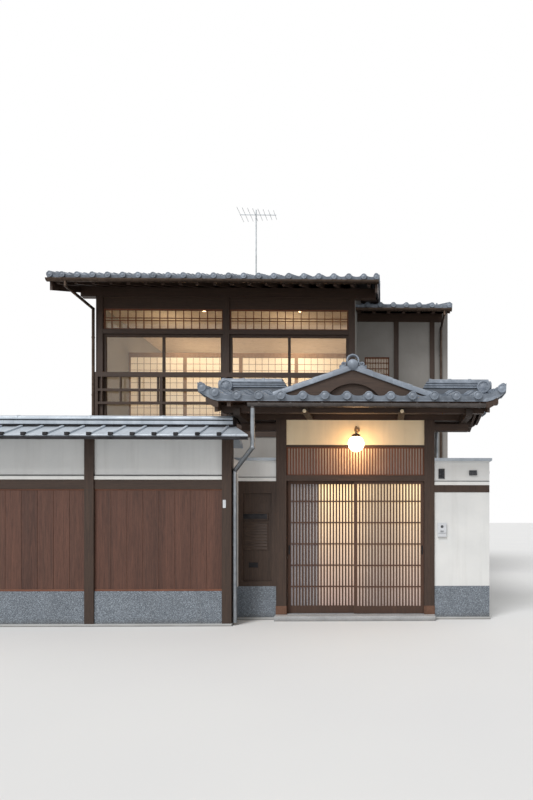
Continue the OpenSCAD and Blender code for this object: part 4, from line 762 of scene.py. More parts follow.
class Roof:
    # One tiled roof: height(along, run) is its bed; along goes with the ridge, run is the way down from it
    def __init__(self, name, low, high, ridgeAt, reach, height, slope, firstRoll, pitch, rolls, courses,
                 start=0.06, axis="x"):
        self.name, self.height, self.slope, self.axis = name, height, slope, axis
        self.low, self.high, self.ridgeAt, self.reach = low, high, ridgeAt, reach
        self.pitch, self.courses, self.start = pitch, courses, start
        self.lefts = [firstRoll - panTile["rollHalf"] + k * pitch for k in range(rolls)]
        self.exposure = (reach - start) / courses
        self.cos = math.cos(math.atan(slope))
        self.sin = math.sin(math.atan(slope))
        self.limit = lambda along: reach

    def at(self, along, run, lift, side):
        base = self.height(along, run) + lift * self.cos
        out = side * (run + lift * self.sin) + self.ridgeAt
        return (along, out, base) if self.axis == "x" else (out, along, base)

    def strips(self):
        # Left edge and width of each column, and whether it has a roll: plain strips fill up to the verges
        rows = [(self.low, self.lefts[0] - self.low, False)]
        rows += [(left, self.pitch, True) for left in self.lefts]
        last = self.lefts[-1] + self.pitch
        rows.append((last, self.high - last, False))
        return [row for row in rows if row[1] > panTile["narrowest"]]

    def profile(self, u, width, rolled):
        return rollProfile(u, width) if rolled else -panTile["troughDepth"] * math.sin(math.pi * u / width)

    def tile(self, maker, strip, course, side):
        left, width, rolled = strip
        head = self.start + course * self.exposure - (panTile["headLap"] if course else 0)
        tail = self.start + (course + 1) * self.exposure
        wobble = dice.uniform(-1, 1, 3) * panTile["jitter"]
        steps = panTile["acrossSteps" if rolled else "flatSteps"]
        thin = panTile["thickness"]
        rings = []
        if self.limit(left + width / 2) < head + panTile["least"]:
            return
        for k in range(steps + 1):
            u = width * k / steps
            base = panTile["seat"] + self.profile(u, width, rolled)
            high = base + panTile["step"] + wobble[0] + wobble[1] * (u / width - 0.5)
            along = left + u
            end = max(head + 0.01, min(tail + wobble[2], self.limit(along) + panTile["headLap"]))
            rings.append([self.at(along, head, base, side), self.at(along, end, high, side),
                          self.at(along, end, high - thin, side), self.at(along, head, base - thin, side)])
        maker.loft(rings, anyTone())

    def eave(self, maker, strip, side):
        # Hanging front of the last tile, and the round end under its roll
        left, width, rolled = strip
        tone = anyTone()
        steps = panTile["acrossSteps" if rolled else "flatSteps"]
        front = self.reach + eaveTile["nose"]
        back = front - eaveTile["apronThickness"]
        rings = []
        for k in range(steps + 1):
            u = width * k / steps
            top = panTile["seat"] + self.profile(u, width, rolled) + panTile["step"] - 0.002
            bottom = -eaveTile["apronDepth"] - eaveTile["scallop"] * math.sin(math.pi * u / width)
            rings.append([self.at(left + u, front, top, side), self.at(left + u, front, bottom, side),
                          self.at(left + u, back, bottom, side), self.at(left + u, back, top, side)])
        maker.loft(rings, tone)
        if rolled:
            self.eaveEnd(maker, left + panTile["rollHalf"], side, tone)

    def eaveEnd(self, maker, along, side, tone):
        r = eaveTile["discRadius"]
        lift = panTile["seat"] + panTile["rollHeight"] + panTile["step"] + eaveTile["inset"] - r
        centre = self.at(along, self.reach + eaveTile["nose"] - eaveTile["inset"], lift, side)
        outward = (0, side, 0) if self.axis == "x" else (side, 0, 0)
        roundEnd(maker, centre, outward, r, eaveTile["discThickness"], tone)

    def verge(self, maker, end, side):
        # Flanged end tiles, one a course, each under a half-round capping
        outward = 1 if end == self.high else -1
        look, r = vergeTile, vergeTile["rollRadius"]
        inner = end - outward * look["lap"]
        outer = end + outward * (look["thickness"] - look["seat"])
        middle = end - outward * r
        for course in range(self.courses):
            head = self.start + course * self.exposure
            tail = head + self.exposure + look["lap"]
            tone = anyTone()
            flange = []
            capping = []
            for run, extra in ((head, 0.0), (tail, panTile["step"])):
                top = extra + look["rise"]
                bottom = -look["drop"] + extra * 0.5
                flange.append([self.at(along, run, lift, side) for along, lift in (
                    (inner, top), (outer, top), (outer, bottom), (inner, bottom))])
                arch = [(middle + r * math.cos(t), extra + look["rollLift"] + r * math.sin(t))
                        for t in np.linspace(0, math.pi, look["sides"])]
                arch += [(middle - r, extra - look["seat"]), (middle + r, extra - look["seat"])]
                capping.append([self.at(along, run, lift, side) for along, lift in arch])
            maker.loft(flange, tone)
            maker.loft(capping, tone)
        self.eaveEnd(maker, middle, side, anyTone())

    def tiles(self, side, skip=lambda along, run: False, verges=(True, True), eaves=True):
        maker = Maker()
        for strip in self.strips():
            for course in range(self.courses):
                if not skip(strip[0] + strip[1] / 2, self.start + (course + 0.5) * self.exposure):
                    self.tile(maker, strip, course, side)
            if eaves:
                self.eave(maker, strip, side)
        for wanted, end in zip(verges, (self.low, self.high)):
            if wanted:
                self.verge(maker, end, side)
        return maker


def slopeRoof(name, node, slope, bow=0.0, **more):
    # Two even slopes over a node, bowed a little between ridge and eave
    low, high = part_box(node)
    reach = (high.y - low.y) / 2

    def height(along, run):
        share = run / reach
        return high.z - slope * run + 4 * bow * share * (1 - share)

    return Roof(name, low.x, high.x, (low.y + high.y) / 2, reach, height, slope, **more)


gateRoofLooks = {"slope": 0.29, "lift": 0.11, "cornerRun": 0.44, "ridgeHalf": 0.12}
gableLooks = {
    "slope": 0.355, "half": 0.96, "bed": 0.025, "thickness": 0.07, "tileEdge": 0.612, "columns": 5,
    "tileInset": 0.04, "tileLap": 0.05, "hiding": 0.07, "bedInset": 0.05, "bedLap": 0.06, "bedSteps": 13,
    "trimProud": 0.005, "bandLength": 0.24, "bandLap": 0.006, "bandOverlap": 0.004, "bandTaper": 0.002,
}


def makeGateRoof():
    low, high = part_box("gate_roof")
    look = gateRoofLooks

    def height(along, run):
        corner = max(0.0, abs(along) - (high.x - look["cornerRun"])) / look["cornerRun"]
        outer = max(0.0, run - look["ridgeHalf"]) / (high.y - look["ridgeHalf"])
        return high.z - look["slope"] * run + look["lift"] * (corner * outer) ** 2

    return Roof("gate_tiles", low.x, high.x, 0.0, high.y, height, look["slope"],
                firstRoll=-1.645, pitch=0.2629, rolls=13, courses=3)


gateRoof = makeGateRoof()
gableFront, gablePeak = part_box("gate_gable_roof")[1].yz
gateRoofPeak = gateRoof.height(0.0, 0.0)


def gableBed(run):
    # Height of the bed under the small gable's tiles
    return gablePeak - gableLooks["thickness"] + gableLooks["bed"] - gableLooks["slope"] * run


def valleyRun(along):
    # How far down a gable slope is above the gate roof's tiles
    rise = gableBed(0.0) - gateRoofPeak + gateRoofLooks["slope"] * abs(along)
    return min(gableLooks["half"], rise / gableLooks["slope"])


def makeGableRoof():
    edge, columns = gableLooks["tileEdge"], gableLooks["columns"]
    reach = gableLooks["half"] - gableLooks["tileInset"]
    roof = Roof("gable_tiles", -edge, edge, 0.0, reach, lambda along, run: gableBed(run),
                gableLooks["slope"], firstRoll=panTile["rollHalf"] - edge, pitch=2 * edge / columns,
                rolls=columns, courses=4, start=0.05, axis="y")
    roof.limit = lambda along: valleyRun(along) + gableLooks["tileLap"]
    return roof


gableRoof = makeGableRoof()
mainRoof = slopeRoof("main_tiles", "main_roof", 0.38, 0.035,
                     firstRoll=-5.219, pitch=0.2627, rolls=21, courses=17)
wingRoof = slopeRoof("wing_tiles", "wing_roof", 0.38, firstRoll=0.0685, pitch=0.2575, rolls=6, courses=11)


def underGable(along, run):
    # Tiles of the gate roof that lie wholly under the small gable, but for the last course
    if run > gateRoof.reach - gateRoof.exposure:
        return False
    cover = gableBed(abs(along) + gateRoof.pitch / 2) - (gateRoofPeak - gateRoofLooks["slope"] * run)
    return cover > gableLooks["hiding"]


def makeGableTrim():
    # Tile bed of the small gable, and the flanged tiles that cap its two front edges
    look = gableLooks
    bed = Maker()
    under = gablePeak - look["thickness"]
    rings = []
    bedEnd = gableFront - look["bedInset"]
    for y in np.linspace(-bedEnd, bedEnd, look["bedSteps"]):
        end = min(look["half"], valleyRun(y) + look["bedLap"])
        ends = under - look["slope"] * end
        rings.append([(-end, y, ends), (-end, y, ends + look["bed"]), (0, y, under + look["bed"]),
                      (end, y, ends + look["bed"]), (end, y, ends), (0, y, under)])
    bed.loft(rings, 0.4)
    addPiece("gable_tile_bed", bed, roofMortar, replaced=("gate_gable_roof",))
    trim = Maker()
    edge = look["tileEdge"]
    front = gableFront + look["trimProud"]
    section = [(front, 0.0), (front, 0.046), (front - 0.006, 0.060), (front - 0.018, 0.069),
               (front - 0.055, 0.073), (edge + 0.012, 0.066), (edge - 0.004, 0.050), (edge - 0.004, 0.022),
               (front - 0.03, 0.022), (front - 0.03, 0.0)]
    pieces = round(look["half"] / look["bandLength"])
    step = look["half"] / pieces
    for end in (-1, 1):
        for side in (-1, 1):
            for k in range(pieces):
                rings = []
                for run, extra, shrink in (
                        (k * step, 0.0, look["bandTaper"]),
                        ((k + 1) * step + look["bandOverlap"], look["bandLap"], 0.0)):
                    base = under - look["slope"] * run
                    rings.append([(side * run, end * (y - shrink), base + z + extra * (z > 0.03))
                                  for y, z in section])
                trim.loft(rings, anyTone())
    addPiece("gable_verge_tiles", trim, roofTile, smoothAngle=35)


def layRoofs():
    wingWays = {"verges": (False, True)}
    for roof, more in ((gateRoof, {"skip": underGable}), (mainRoof, {}), (wingRoof, wingWays)):
        for side, place in ((-1, "front"), (1, "rear")):
            addPiece(roof.name + "_" + place, roof.tiles(side, **more), roofTile)
    for side, place in ((-1, "left"), (1, "right")):
        tiles = gableRoof.tiles(side, verges=(False, False), eaves=False)
        addPiece(gableRoof.name + "_" + place, tiles, roofTile)
    makeGableTrim()


layRoofs()
print("roofs tiled")

# Ridges: flat tiles stacked in mortar, under a row of half-round caps
ridgeTile = {
    "length": 0.27, "gap": 0.003, "thickness": 0.022, "recess": 0.014, "ease": 0.004, "stepIn": 0.007,
    "collar": 0.006, "collarLength": 0.035, "capSides": 12, "capSeat": 0.006, "capHollow": 0.008,
    "shortest": 0.05,
}


def layRidge(tiles, mortar, axis, middle, span, width, levels, capRadius, layers, slants=(0.0, 0.0)):
    # span and slants give both ends along the ridge; levels are its foot, the first layer's base and its top
    foot, base, top = levels
    length = ridgeTile["length"]
    layerHeight = (top - capRadius - base) / max(layers, 1)

    def ends(z):
        share = max(0.0, (z - base) / (top - base))
        return span[0] + slants[0] * share, span[1] - slants[1] * share

    def section(points, end, along=None):
        # One ring: an end follows the slant, a joint in between is upright
        ring = []
        for across, z in points:
            at = ends(z)[end] if along is None else along
            ring.append((at, middle + across, z) if axis == "x" else (middle + across, at, z))
        return ring

    def row(points, start):
        # Tiles of one row, end to end with thin gaps
        low, high = ends(points[0][1])
        joints = [low + start]
        least = ridgeTile["shortest"]
        while joints[-1] + length < high - least:
            joints.append(joints[-1] + length)
        joints = [j for j in joints if low + least < j < high - least]
        gap = ridgeTile["gap"] / 2
        edges = [None] + joints + [None]
        for first, last in zip(edges[:-1], edges[1:]):
            near = None if first is None else first + gap
            far = None if last is None else last - gap
            tiles.loft([section(points, 0, near), section(points, 1, far)], anyTone())

    inset = width / 2 - ridgeTile["recess"]
    shoulder = top - capRadius
    narrow = capRadius - ridgeTile["capHollow"]
    if layers:
        narrow = min(inset, narrow)
    core = [(-inset, foot), (inset, foot), (inset, base), (narrow, shoulder), (narrow * 0.6, top - 0.012),
            (-narrow * 0.6, top - 0.012), (-narrow, shoulder), (-inset, base)]
    mortar.loft([section(core, 0), section(core, 1)])
    for i in range(layers):
        z1 = base + (i + 1) * layerHeight
        z0 = z1 - min(ridgeTile["thickness"], layerHeight * 0.72)
        half = width / 2 - i * ridgeTile["stepIn"]
        e = ridgeTile["ease"]
        row([(-half + e, z0), (half - e, z0), (half, z0 + e), (half, z1 - e), (half - e, z1), (-half + e, z1),
             (-half, z1 - e), (-half, z0 + e)], length * (1.0 if i % 2 else 0.5))
    low, high = span[0] + slants[0], span[1] - slants[1]
    count = max(1, round((high - low) / length))
    step = (high - low) / count
    collar, proud = ridgeTile["collarLength"], capRadius + ridgeTile["collar"]
    for k in range(count):
        rings = []
        tone = anyTone()
        for along, r in ((0.001, proud), (collar, proud), (collar + 0.004, capRadius), (step, capRadius)):
            points = [(r * math.cos(t), shoulder + r * math.sin(t))
                      for t in np.linspace(0, math.pi, ridgeTile["capSides"] + 1)]
            points += [(way * r, shoulder - ridgeTile["capSeat"]) for way in (-1, 1)]
            rings.append(section(points, 0, low + k * step + along))
        tiles.loft(rings, tone)


def endPlate(tiles, at, outward, middle, base, top, width, thickness=0.045):
    # Shaped tile closing a ridge's end, with a round boss
    half = width / 2 + 0.02
    rise = top - base
    side = [(half + 0.02, base - 0.03), (half, base + rise * 0.45), (half * 0.62, base + rise * 0.8),
            (half * 0.34, top + 0.02), (0.0, top + 0.035)]
    outline = side + [(-a, z) for a, z in side[-2::-1]]
    tiles.loft([[(at + outward * along, middle + a * scale, base + (z - base) * scale) for a, z in outline]
                for along, scale in ((0.0, 1.0), (thickness * 0.8, 1.0), (thickness, 0.94))], 0.45)
    centre = (at + outward * thickness, middle, base + rise * 0.48)
    roundEnd(tiles, centre, (outward, 0, 0), min(0.075, rise * 0.36), 0.02, 0.5, 24)


# Each length of the gate's ridge has a slanted inner end, and a bare low part runs on to the small gable
gateRidgeLooks = {
    "inner": 0.89, "lean": 0.09, "width": 0.24, "levels": (-0.035, 0.037, 0.19), "cap": 0.06,
    "bareInner": 0.38, "bareWidth": 0.15, "bareLevels": (-0.035, 0.012, 0.054), "bareCap": 0.042,
    "gableLevels": (-0.06, -0.005, 0.06), "gableCap": 0.045,
}


def makeGateRidges():
    tiles, mortar = Maker(), Maker()
    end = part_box("gate_ridges")[1].x
    look = gateRidgeLooks
    levels, bareLevels = ([gateRoofPeak + z for z in look[key]] for key in ("levels", "bareLevels"))
    for side in (-1, 1):
        span = sorted((side * look["inner"], side * end))
        bare = sorted((side * look["bareInner"], side * look["inner"]))
        slants = (look["lean"], 0.0) if side > 0 else (0.0, look["lean"])
        layRidge(tiles, mortar, "x", 0.0, span, look["width"], levels, look["cap"], 3, slants)
        layRidge(tiles, mortar, "x", 0.0, bare, look["bareWidth"], bareLevels, look["bareCap"], 0)
    finialBack = gableFront - finialLooks["thickness"]
    layRidge(tiles, mortar, "y", 0.0, (-finialBack, finialBack), look["bareWidth"],
             [gablePeak + z for z in look["gableLevels"]], look["gableCap"], 1)
    for name, maker, material in (("gate_ridge_tiles", tiles, roofTile),
                                  ("gate_ridge_mortar", mortar, roofMortar)):
        addPiece(name, maker, material, replaced=("gate_ridges",))


# Verge boards under the raised corners of the gate roof
vergeLooks = {"reach": 1.76, "thickness": 0.036, "depth": 0.084, "lining": 0.016, "inset": 0.012,
              "nose": 0.02, "fasciaDepth": 0.076, "fasciaThickness": 0.019, "fasciaGap": 0.003}


def makeVergeBoards():
    low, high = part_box("gate_roof")
    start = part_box("gate_roof_boards")[1].x
    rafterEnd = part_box("gate_rafters")[1].y
    look, roof = vergeLooks, gateRoofLooks

    def under(x, y):
        # Underside of the roof, lifted towards the corner
        corner = max(0.0, x - start) / (high.x - start)
        outer = max(0.0, abs(y) - roof["ridgeHalf"]) / (high.y - roof["ridgeHalf"])
        return low.z + roof["slope"] * (high.y - abs(y)) + roof["lift"] * corner * outer ** 2

    maker = Maker()
    end = high.y - look["inset"]
    edge = look["reach"] - look["thickness"]
    for side in (-1, 1):
        board, lining = [], []
        for y in np.linspace(-end, end, 25):
            top = under(edge, y) + 0.002
            foot = top - look["depth"] + (look["nose"] if abs(y) > end - 0.02 else 0.0)
            board.append([(side * x, y, z) for x, z in (
                (edge, top), (look["reach"], top), (look["reach"], foot), (edge, foot))])
            inner, outer = under(start, y), under(edge, y)
            lining.append([(side * x, y * 0.995, z) for x, z in (
                (start - 0.003, inner + 0.001), (edge + 0.004, outer + 0.001),
                (edge + 0.004, outer - look["lining"]), (start - 0.003, inner - look["lining"]))])
        maker.loft(board, 0.45)
        maker.loft(lining)
        for facing in (-1, 1):
            far = facing * (rafterEnd + look["fasciaGap"])
            near = facing * (rafterEnd + look["fasciaGap"] + look["fasciaThickness"])
            rings = []
            for x in np.linspace(start - 0.05, edge + 0.006, 7):
                top = under(x, near) + 0.001
                foot = top - look["fasciaDepth"]
                rings.append([(side * x, near, top), (side * x, far, top), (side * x, far, foot),
                              (side * x, near, foot)])
            maker.loft(rings, 0.55)
    addPiece("gate_verge_boards", maker, darkRafter)


makeVergeBoards()

# Finials on the small gable, and the round tiles at the ends of the gate's ridge
finialLooks = {
    "ball": 0.068, "drop": 0.010, "ringRise": 0.051, "ringOuter": 0.079, "ringInner": 0.059,
    "ringEnds": (-26, 206), "thickness": 0.05, "curl": 0.036, "curlAt": (0.112, 0.012),
    "smallCurl": 0.022, "smallAt": (0.150, -0.016), "turns": 1.5,
    "saddleTop": ((0.0, -0.035), (0.060, -0.021), (0.120, -0.007), (0.150, -0.025), (0.165, -0.047)),
    "saddleFoot": (0.080, -0.040),
}
ridgeEndLooks = {"disc": 0.078, "discLift": 0.01, "discDepth": 0.0372, "scroll": 0.085, "scrollDepth": 0.03,
                 "scrollRise": 0.06, "scrollAt": 0.11, "beads": 9, "beadRing": 0.051, "beadOut": 0.018}


def spiral(maker, centre, radius, side, depth):
    # Curling rib on the face of a round tile
    path = []
    radii = []
    turns = finialLooks["turns"]
    for t in np.linspace(0, 1, int(18 * turns)):
        angle = math.pi / 2 + side * (0.9 + t * turns * 2 * math.pi)
        reach = radius * 0.84 * (1 - 0.82 * t)
        path.append((centre[0] + reach * math.cos(angle), depth, centre[2] + reach * math.sin(angle)))
        radii.append(radius * 0.2 * (1 - 0.45 * t))
    maker.tube(path, radii, 8)


def makeFinial(maker, facing):
    # Ball under a ring between two curls; facing is -1 for the street end and 1 for the house end
    look = finialLooks
    z = gablePeak - look["drop"]
    front = facing * gableFront
    back = front - facing * look["thickness"]
    low, high = (math.radians(a) for a in look["ringEnds"])
    maker.band((0.0, z + look["ringRise"]), look["ringInner"], look["ringOuter"], front, back, low, high,
               56, 0.006)
    r = look["ball"]
    dome = [(look["thickness"] * 0.7 + r * math.sin(a), r * math.cos(a))
            for a in np.linspace(0, math.pi / 2, 9)]
    rim = [(0, r * 0.8), (0, r * 0.94), (0.01, r * 0.99)]
    maker.turned((0.0, back, z), (0, facing, 0), rim + dome, 32, 0.6)
    top, (footAt, footDrop) = look["saddleTop"], look["saddleFoot"]
    saddle = [(-x, drop) for x, drop in top[:0:-1]] + list(top)
    saddle += [(footAt, footDrop), (0.0, top[-1][1]), (-footAt, footDrop)]
    maker.loft([[(x, y, z + drop) for x, drop in saddle] for y in (front - facing * 0.004, back)])
    for side in (-1, 1):
        for (x, rise), r in ((look["curlAt"], look["curl"]), (look["smallAt"], look["smallCurl"])):
            centre = (side * x, back, z + rise)
            depth = look["thickness"] * (0.9 if r > 0.03 else 0.7)
            maker.turned(centre, (0, facing, 0), [
                (0, r * 0.5), (0, r * 0.8), (depth * 0.45, r * 0.84), (depth * 0.6, r * 0.7),
                (depth * 0.6, 0.0)], 24, 0.35)
            spiral(maker, centre, r, side, back + facing * depth * 0.8)


def makeRidgeEnds():
    maker = Maker()
    for facing in (-1, 1):
        makeFinial(maker, facing)
    look = ridgeEndLooks
    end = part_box("gate_ridges")[1].x
    reach = look["beadRing"]
    for side in (-1, 1):
        centre = (side * end, 0.0, gateRoofPeak + look["disc"] + look["discLift"])
        roundEnd(maker, centre, (side, 0, 0), look["disc"], look["discDepth"], 0.5, 28)
        x, z = side * (end - look["scroll"]), gateRoofPeak + look["scrollRise"]
        for facing in (-1, 1):
            y = facing * look["scrollAt"]
            roundEnd(maker, (x, y, z), (0, facing, 0), look["scroll"], look["scrollDepth"], 0.55, 28)
            for k in range(look["beads"]):
                t = 2 * math.pi * k / look["beads"]
                spot = (x + reach * math.cos(t), y + facing * look["beadOut"], z + reach * math.sin(t))
                maker.turned(spot, (0, facing, 0),
                             [(0, 0.008), (0.005, 0.0075), (0.008, 0.004), (0.009, 0.0)], 10, 0.6)
    addPiece("gate_ridge_end_tiles", maker, roofTile, replaced=("gate_ridge_ends",))


# Levels are from the roof's own peak; the main ridge goes up to the top of its node
houseRidgeLooks = {
    "inset": 0.04, "width": 0.30, "foot": -0.06, "base": 0.033, "cap": 0.07, "layers": 4,
    "plateInset": 0.012, "plateFoot": 0.02, "wingWidth": 0.22, "wingLevels": (-0.05, 0.010, 0.09),
    "wingCap": 0.05, "wingPlateInset": 0.03, "wingPlateWidth": 0.2, "wingPlateThickness": 0.035,
}


def makeHouseRidges():
    tiles, mortar = Maker(), Maker()
    low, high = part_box("house_ridges")
    look = houseRidgeLooks
    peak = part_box("main_roof")[1].z
    end = mainRoof.high - look["inset"]
    layRidge(tiles, mortar, "x", mainRoof.ridgeAt, (low.x, end), look["width"],
             (peak + look["foot"], peak + look["base"], high.z), look["cap"], look["layers"])
    for at, outward in ((low.x, -1), (end, 1)):
        endPlate(tiles, at - outward * look["plateInset"], outward, mainRoof.ridgeAt,
                 peak + look["plateFoot"], high.z, look["width"])
    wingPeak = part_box("wing_roof")[1].z
    levels = [wingPeak + z for z in look["wingLevels"]]
    layRidge(tiles, mortar, "x", wingRoof.ridgeAt, (wingRoof.low, high.x), look["wingWidth"],
             levels, look["wingCap"], 1)
    endPlate(tiles, high.x - look["wingPlateInset"], 1, wingRoof.ridgeAt, wingPeak, levels[-1],
             look["wingPlateWidth"], look["wingPlateThickness"])
    for name, maker, material in (("house_ridge_tiles", tiles, roofTile),
                                  ("house_ridge_mortar", mortar, roofMortar)):
        addPiece(name, maker, material, replaced=("house_ridges",))


makeGateRidges()
makeRidgeEnds()
makeHouseRidges()
print("ridges laid")

# Seamed sheet roof of the street wall; drip and fascia are outlines of (y, z) from the edge of its eave
wallRoof = {
    "slope": 0.42, "firstBatten": -1.565, "battenPitch": 0.2533, "battens": 14, "width": 0.034,
    "height": 0.022, "ease": 0.005, "startRun": 0.075, "endWidth": 0.048, "endHeight": 0.040,
    "endDepth": 0.022, "endInset": 0.012,
    "drip": ((0.004, 0.002), (-0.008, -0.001), (-0.010, -0.010), (0.004, -0.012)),
    "fascia": ((0.004, -0.022), (-0.006, -0.022), (-0.006, -0.056), (0.02, -0.056), (0.02, -0.050),
               (0.004, -0.050)),
}


def makeWallRoof():
    low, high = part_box("street_wall_roof")
    middle = (low.y + high.y) / 2
    reach = (high.y - low.y) / 2
    look = wallRoof
    half, h, e = look["width"] / 2, look["height"], look["ease"]
    profile = ((-half, -0.004), (-half, h - e), (-half + e, h), (half - e, h), (half, h - e), (half, -0.004))
    endHalf = look["endWidth"] / 2
    eave = high.z - look["slope"] * reach
    endTop = eave + h + 0.004
    battens, trim = Maker(), Maker()
    for k in range(look["battens"]):
        x = look["firstBatten"] - look["battenPitch"] * k
        for side in (-1, 1):
            rings = []
            for run in (look["startRun"], reach + 0.004):
                y = middle + side * run
                z = high.z - look["slope"] * run
                rings.append([(x + across, y, z + rise) for across, rise in profile])
            battens.loft(rings, float(dice.uniform(0.3, 0.7)))
            y = middle + side * reach
            near, far = sorted((y - side * look["endInset"], y + side * look["endDepth"]))
            trim.box((x - endHalf, near, endTop - look["endHeight"]), (x + endHalf, far, endTop),
                     0.4, 0.004)
    for maker, outline, tone in ((battens, look["drip"], 0.6), (trim, look["fascia"], 0.5)):
        maker.extrude([(low.y + y, eave + z) for y, z in outline], low.x, high.x, tone)
    addPiece("wall_roof_battens", battens, roofSheet)
    addPiece("wall_roof_trim", trim, darkMetal)


# Folded sheet ridge: round cap, thin ledge, deep band, each set back from the one above.
# Ledge, band, core and ends are given by half width, foot and head, from the top
wallRidge = {
    "lengths": 4, "cap": 0.043, "collar": 0.047, "spread": 1.45, "capDrop": 0.045,
    "ledges": ((0.094, -0.064, -0.043), (0.084, -0.121, -0.077)),
    "core": (0.066, -0.15, -0.05), "ends": (0.07, -0.14, -0.012),
}


def makeWallRidge():
    low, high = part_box("street_wall_ridge")
    middle = (low.y + high.y) / 2
    look = wallRidge
    capMiddle = high.z - look["capDrop"]
    sheet, dark = Maker(), Maker()
    step = (high.x - low.x) / look["lengths"]

    def bar(maker, x0, x1, form, tone, ease=0.0):
        half, foot, head = form
        maker.box((x0, middle - half, high.z + foot), (x1, middle + half, high.z + head), tone, ease)

    for k in range(look["lengths"]):
        a, b = low.x + k * step, low.x + (k + 1) * step
        tone = 0.35 + 0.1 * k
        cap = []
        for x, r in ((a + 0.001, look["collar"]), (a + 0.03, look["collar"]), (a + 0.032, look["cap"]),
                     (b, look["cap"])):
            cap.append([(x, middle + r * look["spread"] * math.cos(t), capMiddle + r * math.sin(t))
                        for t in np.linspace(0, math.pi, 13)])
        sheet.loft(cap, tone)
        for form in look["ledges"]:
            bar(sheet, a + 0.001, b - 0.001, form, tone, 0.004)
    # The core is blackened: painted shade in the recesses between the ledges and below the lower one
    bar(dark, low.x + 0.01, high.x - 0.012, look["core"], 0.4)
    for x in (low.x, high.x):
        bar(dark, x - 0.008, x + 0.008, look["ends"], 0.4, 0.004)
    addPiece("wall_ridge_cap", sheet, roofSheet, replaced=("street_wall_ridge",))
    addPiece("wall_ridge_core", dark, darkMetal, replaced=("street_wall_ridge",))


makeWallRoof()
makeWallRidge()
print("street wall roofed")

# Fine bars of the paper screens in the upper room
screenGrid = {"start": -5.0, "panel": 1.1775, "panels": 4, "stile": 0.036, "columns": 8, "rows": 12,
              "bar": 0.007, "depth": 0.007, "foot": 0.02, "head": 0.10, "tallest": 1.62}


def makeScreenGrid():
    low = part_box("screen_paper")[0]
    look = screenGrid
    half = look["bar"] / 2
    front = low.y - look["depth"]
    bottom = low.z + look["foot"]
    top = min(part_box("inner_screens")[1].z - look["head"], bottom + look["tallest"])
    maker = Maker()
    for p in range(look["panels"]):
        left = look["start"] + p * look["panel"] + look["stile"]
        right = left + look["panel"] - 2 * look["stile"]
        for k in range(1, look["columns"]):
            x = left + (right - left) * k / look["columns"]
            maker.box((x - half, front, bottom), (x + half, low.y, top), anyTone())
        for k in range(1, look["rows"]):
            z = bottom + (top - bottom) * k / look["rows"]
            maker.box((left, front + 0.001, z - half), (right, low.y, z + half), anyTone())
    addPiece("screen_grid", maker, cedarPost)


makeScreenGrid()
print("screens filled")


# Small fittings on the gate, the walls and the house, each opening given by its two X and its two Z
def frameBars(maker, x, z, front, back, width):
    # Four bars round an opening
    (x0, x1), (z0, z1) = x, z
    low, high = min(front, back), max(front, back)
    for a0, a1, b0, b1 in ((x0, x1, z0, z0 + width), (x0, x1, z1 - width, z1),
                           (x0, x0 + width, z0 + width, z1 - width),
                           (x1 - width, x1, z0 + width, z1 - width)):
        maker.box((a0, low, b0), (a1, high, b1), 0.5, 0.002)


ventLooks = {"slotted": ((1.107, 1.189), (1.870, 2.004)), "slots": 7, "frame": 0.009, "frameProud": 0.014,
             "hooded": ((1.517, 1.619), (1.915, 1.982)), "louvres": 3}


def makeVents():
    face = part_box("intercom")[1].y
    dark = Maker()
    slots, louvres, frame = ventLooks["slots"], ventLooks["louvres"], ventLooks["frame"]
    (x0, x1), (z0, z1) = ventLooks["slotted"]
    frameBars(dark, (x0, x1), (z0, z1), face - ventLooks["frameProud"], face, frame)
    # Dark plate behind the slots: painted shade of the opening behind them
    dark.box((x0 + 0.004, face - 0.004, z0 + 0.004), (x1 - 0.004, face + 0.001, z1 - 0.004), 0.2)
    pitch = (z1 - z0 - 2 * frame) / slots
    for k in range(slots):
        z = z0 + frame + pitch * k
        dark.extrude([(face - 0.011, z + 0.001), (face - 0.009, z), (face - 0.002, z + pitch * 0.62),
                      (face - 0.004, z + pitch * 0.66)], x0 + 0.006, x1 - 0.006)
    (x0, x1), (z0, z1) = ventLooks["hooded"]
    dark.extrude([(face, z0), (face - 0.030, z0 + 0.004), (face - 0.034, z0 + 0.012),
                  (face - 0.022, z1 - 0.006), (face - 0.016, z1), (face, z1)], x0, x1)
    for k in range(louvres):
        x = x0 + 0.012 + k * (x1 - x0 - 0.02) / louvres
        dark.box((x, face - 0.0365, z0 + 0.014), (x + 0.02, face - 0.028, z0 + 0.026), 0.3, 0.002)
    addPiece("wall_vents", dark, darkShell)


# Heights as shares of the door station's own
stationLooks = {"lensDown": 0.27, "slots": 4, "slotsUp": 0.42, "slotHalf": 0.022, "slotPitch": 0.006,
                "slotHeight": 0.0026, "button": (0.24, 0.26), "buttonInset": 0.008}


def makeIntercomFace():
    # Lens, speaker slots and call button of the door station
    low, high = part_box("intercom")
    x, front, rise = (low.x + high.x) / 2, low.y, high.z - low.z
    look = stationLooks
    half, inset = look["slotHalf"], look["buttonInset"]
    dark = Maker()
    dark.turned((x, front + 0.004, high.z - rise * look["lensDown"]), (0, -1, 0), [
        (0, 0.016), (0, 0.0185), (0.0055, 0.0185), (0.0075, 0.016), (0.006, 0.012), (0.0085, 0.007),
        (0.0095, 0.0)], 24, 0.3)
    # The speaker slots are dark strips: painted shade of their openings
    for k in range(look["slots"]):
        z = low.z + rise * look["slotsUp"] - k * look["slotPitch"]
        dark.box((x - half, front - 0.0012, z), (x + half, front + 0.002, z + look["slotHeight"]), 0.3)
    foot, head = (low.z + rise * share for share in look["button"])
    dark.box((low.x + inset, front - 0.0015, foot), (high.x - inset, front + 0.002, head), 0.3)
    addPiece("door_station_face", dark, darkShell)


